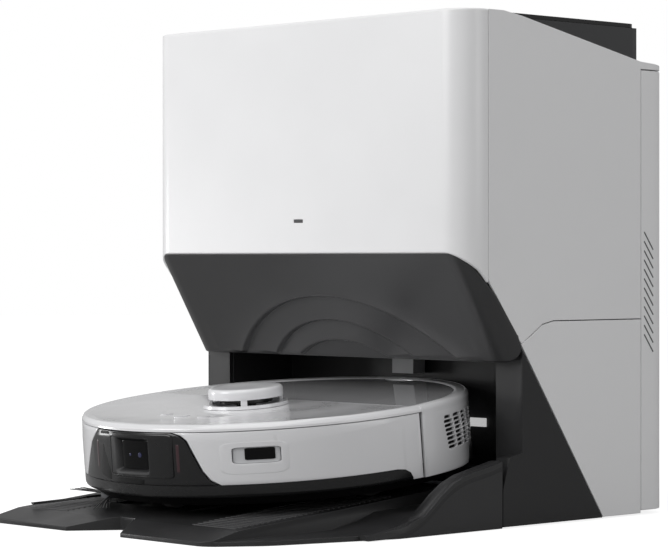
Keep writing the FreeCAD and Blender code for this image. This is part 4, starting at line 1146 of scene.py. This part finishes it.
    def build(self) -> None:
        """Builds the dock's pieces."""
        self.fascia()
        self.shells()
        self.ramp()
        self.wings()
        self.rear_vents()
        self.bag()


# ------------------------------------------------------------------ robot


@dataclass
class Robot:
    """The round robot, standing nose down on the ramp."""

    slope_deg: float = 5.0
    base_y: float = -41.1
    base_z: float = 28.1
    body_radius: float = 176.5
    band_top: float = 28.2
    seam_height: float = 74.0
    split_deg: float = 93.5
    split_gap_deg: float = 0.45
    skirt_foot: float = 17.2
    brush_x: float = -95.0
    brush_y: float = -118.0
    turret_y: float = -34.7
    turret_radius: float = 33.9
    turret_top: float = 96.5

    def at(self, local: Vector) -> Vector:
        """Takes a point of the robot's own frame, in millimetres, to its place in metres.

        Args:
            local: the point.

        Returns:
            The place.
        """
        a = math.radians(self.slope_deg)
        y = self.base_y + local.y * math.cos(a) - local.z * math.sin(a)
        z = self.base_z + local.y * math.sin(a) + local.z * math.cos(a)
        return Vector((local.x, y, z)) * MM

    def wrapped(self, radius: float) -> Place:
        """A surface that bends flat outlines of (degrees times two, height) round the body.

        Args:
            radius: the radius of the outer face.

        Returns:
            The placing function; two flat millimetres stand for one degree.
        """

        def place(flat: Vector) -> Vector:
            """Bends one point, easing the wall inward near its top.

            Args:
                flat: the point on the flat outline.

            Returns:
                Its place in metres.
            """
            turn = math.radians(flat.x / 2)
            ease = max(0.0, (flat.y - 66) / 8) if abs(flat.x) < 2 * self.split_deg else 0.0
            reach = radius - 0.9 * ease * ease + flat.z
            return self.at(Vector((reach * math.sin(turn), -reach * math.cos(turn), flat.y)))

        return place

    def wrap(
        self,
        name: str,
        outlines: Iterable[Sequence[Point]],
        radius: float,
        thickness: float,
        finish: Finish,
        bevel: float = 0.3,
    ) -> bpy.types.Object:
        """Bends a plate drawn in (degrees, height) round the body.

        Args:
            name: the piece's name.
            outlines: its outlines and holes.
            radius: the outer face's radius.
            thickness: the plate's thickness.
            finish: its finish.
            bevel: the round of its edges.

        Returns:
            The new object.
        """
        doubled = [[(2 * x, y) for x, y in outline] for outline in outlines]
        return slab(name, doubled, thickness, self.wrapped(radius), finish, 3.0, bevel)

    def seat(self, x: float, y: float) -> Place:
        """Makes a placing function for pieces drawn about an upright axis of the robot.

        Args:
            x: the axis's place across.
            y: its place along the robot.

        Returns:
            The placing function.
        """
        return lambda local: self.at(local + Vector((x, y, 0)))

    def bumper(self) -> None:
        """Makes the white bumper in two cheeks beside the nose, with a window on the right."""
        low, high = self.band_top + 0.3, self.seam_height - 0.3
        end = self.split_deg - self.split_gap_deg
        arch = [(83.0, low), (86.0, low - 1.2), (88.0, low - 4.5), (89.2, 17.6), (end, 17.6)]
        left_brow = [(-28.2, low), (-27, 33), (-20.5, 61), (-17.5, 68), (-15.2, high)]
        right_brow = [(17.2, high), (20, 71.5), (22, 67), (24, 55), (26.4, 41), (28.6, 33)]
        left = [(-x, y) for x, y in reversed(arch)] + left_brow + [(-end, high)]
        right = [(31.6, low), *arch, (end, high), *right_brow]
        hole = box_loop((35, 46.3), (48.8, 60.3), 2.4, 6)
        face = self.body_radius - 0.25
        cheeks = self.wrap("bumper_cheeks", [left, right, hole], face, 2.4, WHITE_GLOSS, 0.5)
        dress(cheeks, "bumper", "robot_white", "bumper_cover")
        field = box_loop((31.5, 37.6), (50.9, 64.5), 5.0, 6)
        above = self.body_radius - 0.12
        pad = self.wrap("sensor_field", [field, hole], above, 0.4, WHITE_GLOSS, 0.12)
        dress(pad, "bumper", "robot_white")
        sill = box_loop((35.2, 46.5), (48.6, 60.1), 2.2, 6)
        inset = self.wrap("side_window_frame", [sill], self.body_radius - 1.7, 1.2, PALE_INNER, 0.2)
        dress(inset, "bumper", "robot_white")
        pane = box_loop((38.6, 49.2), (47.2, 59.4), 1.0)
        glass = self.wrap("side_sensor_glass", [pane], self.body_radius - 1.2, 0.9, GLASS_BLACK, 0.3)
        dress(glass, "bumper", "dark_glass", "side_window")

    def band(self) -> None:
        """Turns the black lower band with a rounded foot."""
        r = self.body_radius - 0.5
        foot = arc((r - 3.2, 20.3), 3.2, -90, 0, 5)
        profile = [(r - 2.9, 28.1), (r - 2.9, 17.1)] + foot[1:] + [(r, 28.1)]
        end = self.split_deg - self.split_gap_deg
        band = lathe("lower_band", profile, self.at, SATIN_BLACK, -end, 2 * end, 160)
        dress(band, "bumper", "black_robot", "bumper_band")

    def nose(self) -> None:
        """Makes the black sensor nose: face plate, camera recess, glass, lens and side filters."""
        r = self.body_radius + 0.1
        face = [
            (-27.6, 28.5), (-26.4, 33), (-20.0, 61), (-17.1, 68), (-14.8, 73.6), (16.7, 73.6),
            (19.5, 71.2), (21.4, 66.8), (23.4, 55), (25.8, 41), (28.0, 33), (30.6, 28.5),
        ]
        recess = box_loop((-6.7, 36), (9, 69), 1.6, 6)
        plate = self.wrap("nose_plate", [face, recess], r, 2.6, SATIN_BLACK, 0.5)
        dress(plate, "bumper", "black_robot", "bumper_nose")
        outer = box_loop((-7.4, 34.6), (17.4, 72.4), 2.4, 6)
        frame_ring = self.wrap("camera_frame", [outer, recess], r + 1.1, 2.0, SATIN_BLACK, 0.7)
        dress(frame_ring, "bumper", "dark_glass")
        rings = (
            (self.wrapped(r + 0.9), box_loop((-13.4, 72), (18, 138), 4, 6)),
            (self.wrapped(r - 3.6), box_loop((-6.6, 82), (16.6, 132), 4, 6)),
        )
        steps = [[place(Vector((x, y / 2, 0))) for x, y in ring] for place, ring in rings]
        bezel = loft("camera_bezel", steps, CHARCOAL)
        rim = bezel.modifiers.new("wall", "SOLIDIFY")
        rim.thickness = 0.4 * MM
        dress(bezel, "bumper", "black_robot")
        back = box_loop((-6.9, 35.8), (9.2, 69.2), 1.6, 6)
        well = self.wrap("camera_well", [back], r - 4.6, 1.0, DEEP_BLACK, 0.1)
        dress(well, "bumper", "black_robot")
        pane = box_loop((-3.3, 41), (8.3, 66), 1.8, 6)
        glass = self.wrap("camera_glass", [pane], r - 3.4, 1.4, GLASS_BLACK, 0.5)
        dress(glass, "bumper", "dark_glass", "sensor_window")
        for name, angle, size in (("main_lens", 4.4, 2.2), ("second_lens", 0.4, 1.2)):
            ring = [(angle + p[0], 53.5 + p[1]) for p in arc((0, 0), size, 0, 360, 28)[:-1]]
            narrow = [(angle + (a - angle) / 3.07, h) for a, h in ring]
            # The lenses' faint blue glow is a painted glint
            lens = self.wrap(name, [narrow], r - 3.1, 0.6, LENS_BLUE_GLINT, 0.2)
            dress(lens, "bumper", "dark_glass")
        for name, angle in (("left_filter", -15.5), ("right_filter", 18.9)):
            slit = box_loop((angle - 0.5, 40), (angle + 0.5, 63.5), 0.5, 4)
            bar = self.wrap(name, [slit], r + 0.1, 0.5, RED_FILTER, 0.1)
            dress(bar, "bumper", "dark_glass")
        groove = rounded_loop([(-13.4, 34), (-8.0, 30), (-8.0, 72.8), (-13.2, 72.8)], 1.6)
        slot = self.wrap("left_slot", [groove], r + 0.05, 0.5, DEEP_BLACK, 0.1)
        dress(slot, "bumper", "black_robot")
        low_pane = box_loop((-5, 28.6), (6.6, 33.4), 1.4)
        chin = self.wrap("chin_window", [low_pane], r + 0.3, 0.8, DEEP_BLACK, 0.2)
        dress(chin, "bumper", "dark_glass")

    def rear_shell(self) -> None:
        """Makes the white rear wall with a slanted field of slots on each side."""
        start = self.split_deg + self.split_gap_deg
        low, high = self.skirt_foot, self.seam_height
        outline = [(start, low), (360 - start, low), (360 - start, high), (start, high)]
        columns, rows = 4, 8
        first_deg, column_deg, slant_deg = 106.6, 6.2, 0.35
        first_height, row_pitch, slot_height = 36.5, 3.9, 2.7
        half_deg, short_deg = 2.65, 2.0
        short = ((0, rows - 1), (columns - 1, 0))
        holes: list[list[Point]] = []
        for side in (1, -1):
            for column in range(columns):
                for row in range(rows):
                    centre = first_deg + column_deg * column + slant_deg * (rows - 1 - row)
                    half = short_deg if (column, row) in short else half_deg
                    foot = first_height + row_pitch * row
                    angle = centre if side > 0 else 360 - centre
                    holes.append(box_loop((angle - half, foot), (angle + half, foot + slot_height), 1.0, 3))
        shell = self.wrap("rear_wall", [outline, *holes], self.body_radius, 2.6, WHITE_GLOSS, 0.35)
        dress(shell, "robot", "robot_white", "robot_rear_shell")
        r = self.body_radius
        crown = [(r - 1.2, 72), (r + 0.05, 72), (r + 0.05, 74.6)] + arc((r - 4.2, 75.9), 4.3, 5, 72, 7)
        crown += [(r - 4.4, 79.4)]
        cover = lathe("rear_rim_skin", crown, self.at, WHITE_GLOSS, start, 360 - 2 * start, 120)
        dress(cover, "robot", "robot_white")
        for side, name in ((1, "right"), (-1, "left")):
            corner = [(side * 122, 17.3), (side * 140, 17.3), (side * 140, 32), (side * 125, 32)]
            turned = [(x % 360, y) for x, y in corner]
            pad = self.wrap(f"rear_corner_pad_{name}", [turned], r + 0.15, 0.8, DEEP_BLACK, 0.2)
            dress(pad, "robot", "black_robot")
        lining = [(r - 3.0, 34), (r - 4.0, 34), (r - 4.0, 69), (r - 3.0, 69)]
        sweep = 360 - 2 * (start + 4)
        backing = lathe("rear_vent_backing", lining, self.at, DEEP_BLACK, start + 4, sweep, 96)
        dress(backing, "robot", "black_robot")

    def deck(self) -> None:
        """Softens the edges of the deck, the lid and the turret's base."""
        stand_in("robot_top_shell", WHITE_GLOSS, 0.5, "robot", "robot_white")
        stand_in("top_lid", LACQUER, 0.5, "lid", "robot_gloss_lid")
        stand_in("turret_base", WHITE_GLOSS, 0.4, "robot", "robot_white")

    def cap(self) -> None:
        """Turns the turret's cap with its deep skirt, and the four posts under it."""
        r = self.turret_radius
        top = self.turret_top
        skirt = top - 9.4
        crown = arc((r - 3.4, top - 3.4), 3.4, 0, 80, 6)
        inside = [(0.001, top - 2.6), (r - 3.6, top - 4.6), (r - 2.2, skirt)]
        rim = [(r - 0.2, skirt), (r, skirt + 0.4)]
        profile = inside + rim + crown + [(r - 9, top), (0.001, top)]
        seat = self.seat(0, self.turret_y)
        cap = lathe("turret_crown", profile, seat, WHITE_GLOSS, 0, 360, 96)
        dress(cap, "turret_cap", "robot_white", "turret_cap")
        posts, post_deg, first_deg = 4, 10, 45
        inner = r - 3.4
        wall = [(inner, 80), (r - 0.6, 80), (r - 0.6, skirt + 1), (inner, skirt + 1)]
        for i in range(posts):
            start = first_deg + 360 / posts * i - post_deg / 2
            post = lathe(f"turret_post_{i + 1}", wall, seat, WHITE_GLOSS, start, post_deg, 6)
            dress(post, "turret_cap", "robot_white")

    def tyres(self) -> None:
        """Gives each drive wheel a ring of lugs."""
        lugs, sink = 28, 1.25
        for name in ("left", "right"):
            source = block_mesh("lug_source", 16.5, 3.4, 1.3, 0.8)
            spots: list[Matrix] = []
            low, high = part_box(f"drive_wheel_{name}")
            centre = (low + high) / 2
            radius = (high.z - low.z) / 2
            lift = Matrix.Translation((0, 0, radius - sink * MM))
            for i in range(lugs):
                turn = Matrix.Rotation(math.tau * i / lugs, 4, "X")
                spots.append(Matrix.Translation(centre) @ turn @ lift)
            tread = repeat(f"tyre_lugs_{name}", source, spots, RUBBER)
            dress(tread, f"wheel_{name}", "black_rubber")

    def frame_matrix(self) -> Matrix:
        """The robot's own frame as a matrix, for placing repeats.

        Returns:
            The matrix, in metres.
        """
        spot = Vector((0, self.base_y, self.base_z)) * MM
        return Matrix.Translation(spot) @ Matrix.Rotation(math.radians(self.slope_deg), 4, "X")

    def sweeper(self) -> None:
        """Makes the corner brush: a hub and five tufts of curved bristles."""
        reach, thick = 66.0, 0.75
        tufts, strands, first_deg, strand_deg = 5, 6, 20, 2.2
        loops = []
        for i in range(9):
            t = i / 8
            centre = Vector((9 + reach * t, 6.0 * t * t, 4.4 - 2.6 * t + 1.2 * t * t))
            r = thick * (1.1 - 0.6 * t)
            turns = [math.tau * k / 5 for k in range(5)]
            loops.append([(centre + Vector((0, r * math.cos(a), r * math.sin(a)))) * MM for a in turns])
        bristle = loft("bristle_source", loops, SATIN_BLACK, cap=True)
        home = self.frame_matrix() @ Matrix.Translation(Vector((self.brush_x, self.brush_y, 0)) * MM)
        spots = []
        for tuft in range(tufts):
            for strand in range(strands):
                fan_deg = strand_deg * (strand - (strands - 1) / 2)
                turn = math.radians(360 / tufts * tuft + first_deg + fan_deg)
                rise = Matrix.Translation(Vector((0, 0, 0.35 * (strand % 2))) * MM)
                spots.append(home @ Matrix.Rotation(turn, 4, "Z") @ rise)
        brush = repeat("sweeper_bristles", bristle, spots, SATIN_BLACK)
        dress(brush, "side_brush", "black_robot", "side_brush")
        disc = [(0.01, 1.4), (6, 1.4), (9, 2.6), (12, 3.0), (12, 6.4), (9, 7.4), (9, 9.6)]
        stem = [(4, 9.7), (4, 27), (0.01, 27)]
        seat = self.seat(self.brush_x, self.brush_y)
        hub = lathe("sweeper_hub", disc + stem, seat, MOULDED_GREY, 0, 360, 48)
        dress(hub, "side_brush", "black_robot")

    def rollers(self) -> None:
        """Makes the two rubber rollers with chevron blades."""
        half_length, core, blade, axis_height = 80.5, 11.6, 4.6, 20.8
        steps, blades, twist_deg_per_mm = 48, 6, 1.1
        for row, centre in (("front", -89.0), ("rear", -52.0)):
            loops = []
            for i in range(steps + 1):
                x = -half_length + 2 * half_length * i / steps
                twist = math.radians(twist_deg_per_mm) * abs(x) * (1 if row == "front" else -1)
                ring = []
                for k in range(steps):
                    a = math.tau * k / steps
                    r = core + blade * max(0.0, math.cos(blades * a)) ** 6
                    y = centre + r * math.cos(a + twist)
                    z = axis_height + r * math.sin(a + twist)
                    ring.append(self.at(Vector((x, y, z))))
                loops.append(ring)
            roller = loft(f"roller_{row}_blades", loops, ROLLER_RUBBER, cap=True)
            dress(roller, f"roller_{row}", "black_rubber", f"main_brush_{row}")

    def screws(self) -> None:
        """Sets countersunk screws into the underside."""
        rings = ((2.9, 0.0), (2.9, 0.25), (2.4, 0.6), (1.3, 0.6), (0.9, 0.1))
        facets, floor_height = 12, 10.0
        turns = [math.tau * k / facets for k in range(facets)]
        loops = [[Vector((r * math.cos(a), r * math.sin(a), -z)) * MM for a in turns] for r, z in rings]
        head = loft("screw_source", loops, STEEL, cap=True)
        around = [(154, 40), (154, -40), (154, 65), (154, -65), (60, 0), (150, 12), (150, -12)]
        spots = []
        for reach, degrees in around:
            a = math.radians(degrees)
            spot = Vector((reach * math.sin(a), -reach * math.cos(a), floor_height)) * MM
            spots.append(self.frame_matrix() @ Matrix.Translation(spot))
        heads = repeat("underside_screws", head, spots, STEEL)
        dress(heads, "robot", "contact_metal")

    def mop(self) -> None:
        """Lays the mop cloth as a soft edged pad."""
        radius, front = 159.5, 65.5
        thickness, soft_edge = 3.4, 1.2
        half = math.degrees(math.acos(front / radius))
        loop = arc((0, 0), radius, 90 - half, 90 + half, 60)
        top = Vector((0, 0, 4.4))
        pad = slab("mop_pad", [loop], thickness, lambda v: self.at(v + top), FIBRE, 0, soft_edge)
        dress(pad, "mop", "bag_fabric", "mop_cloth")

    def build(self) -> None:
        """Builds the robot's pieces."""
        self.bumper()
        self.band()
        self.nose()
        self.rear_shell()
        self.deck()
        self.cap()
        self.tyres()
        self.sweeper()
        self.rollers()
        self.screws()
        self.mop()


def dress_nodes() -> None:
    """Gives every carried-over node the finish named for it."""
    for entry in NodeFinish:
        finish, names = entry.value
        for name in names:
            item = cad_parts[name]
            item.data.materials.clear()
            item.data.materials.append(finish.build())
            LOG.info("%s: %s", name, finish.name)


def main() -> None:
    """Builds the studio, the dock and the robot."""
    logging.basicConfig(level=logging.INFO, format="%(name)s %(message)s")
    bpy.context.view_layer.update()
    Studio().build()
    dress_nodes()
    Dock().build()
    Robot().build()
    bpy.context.view_layer.update()


if __name__ == "__main__":
    main()
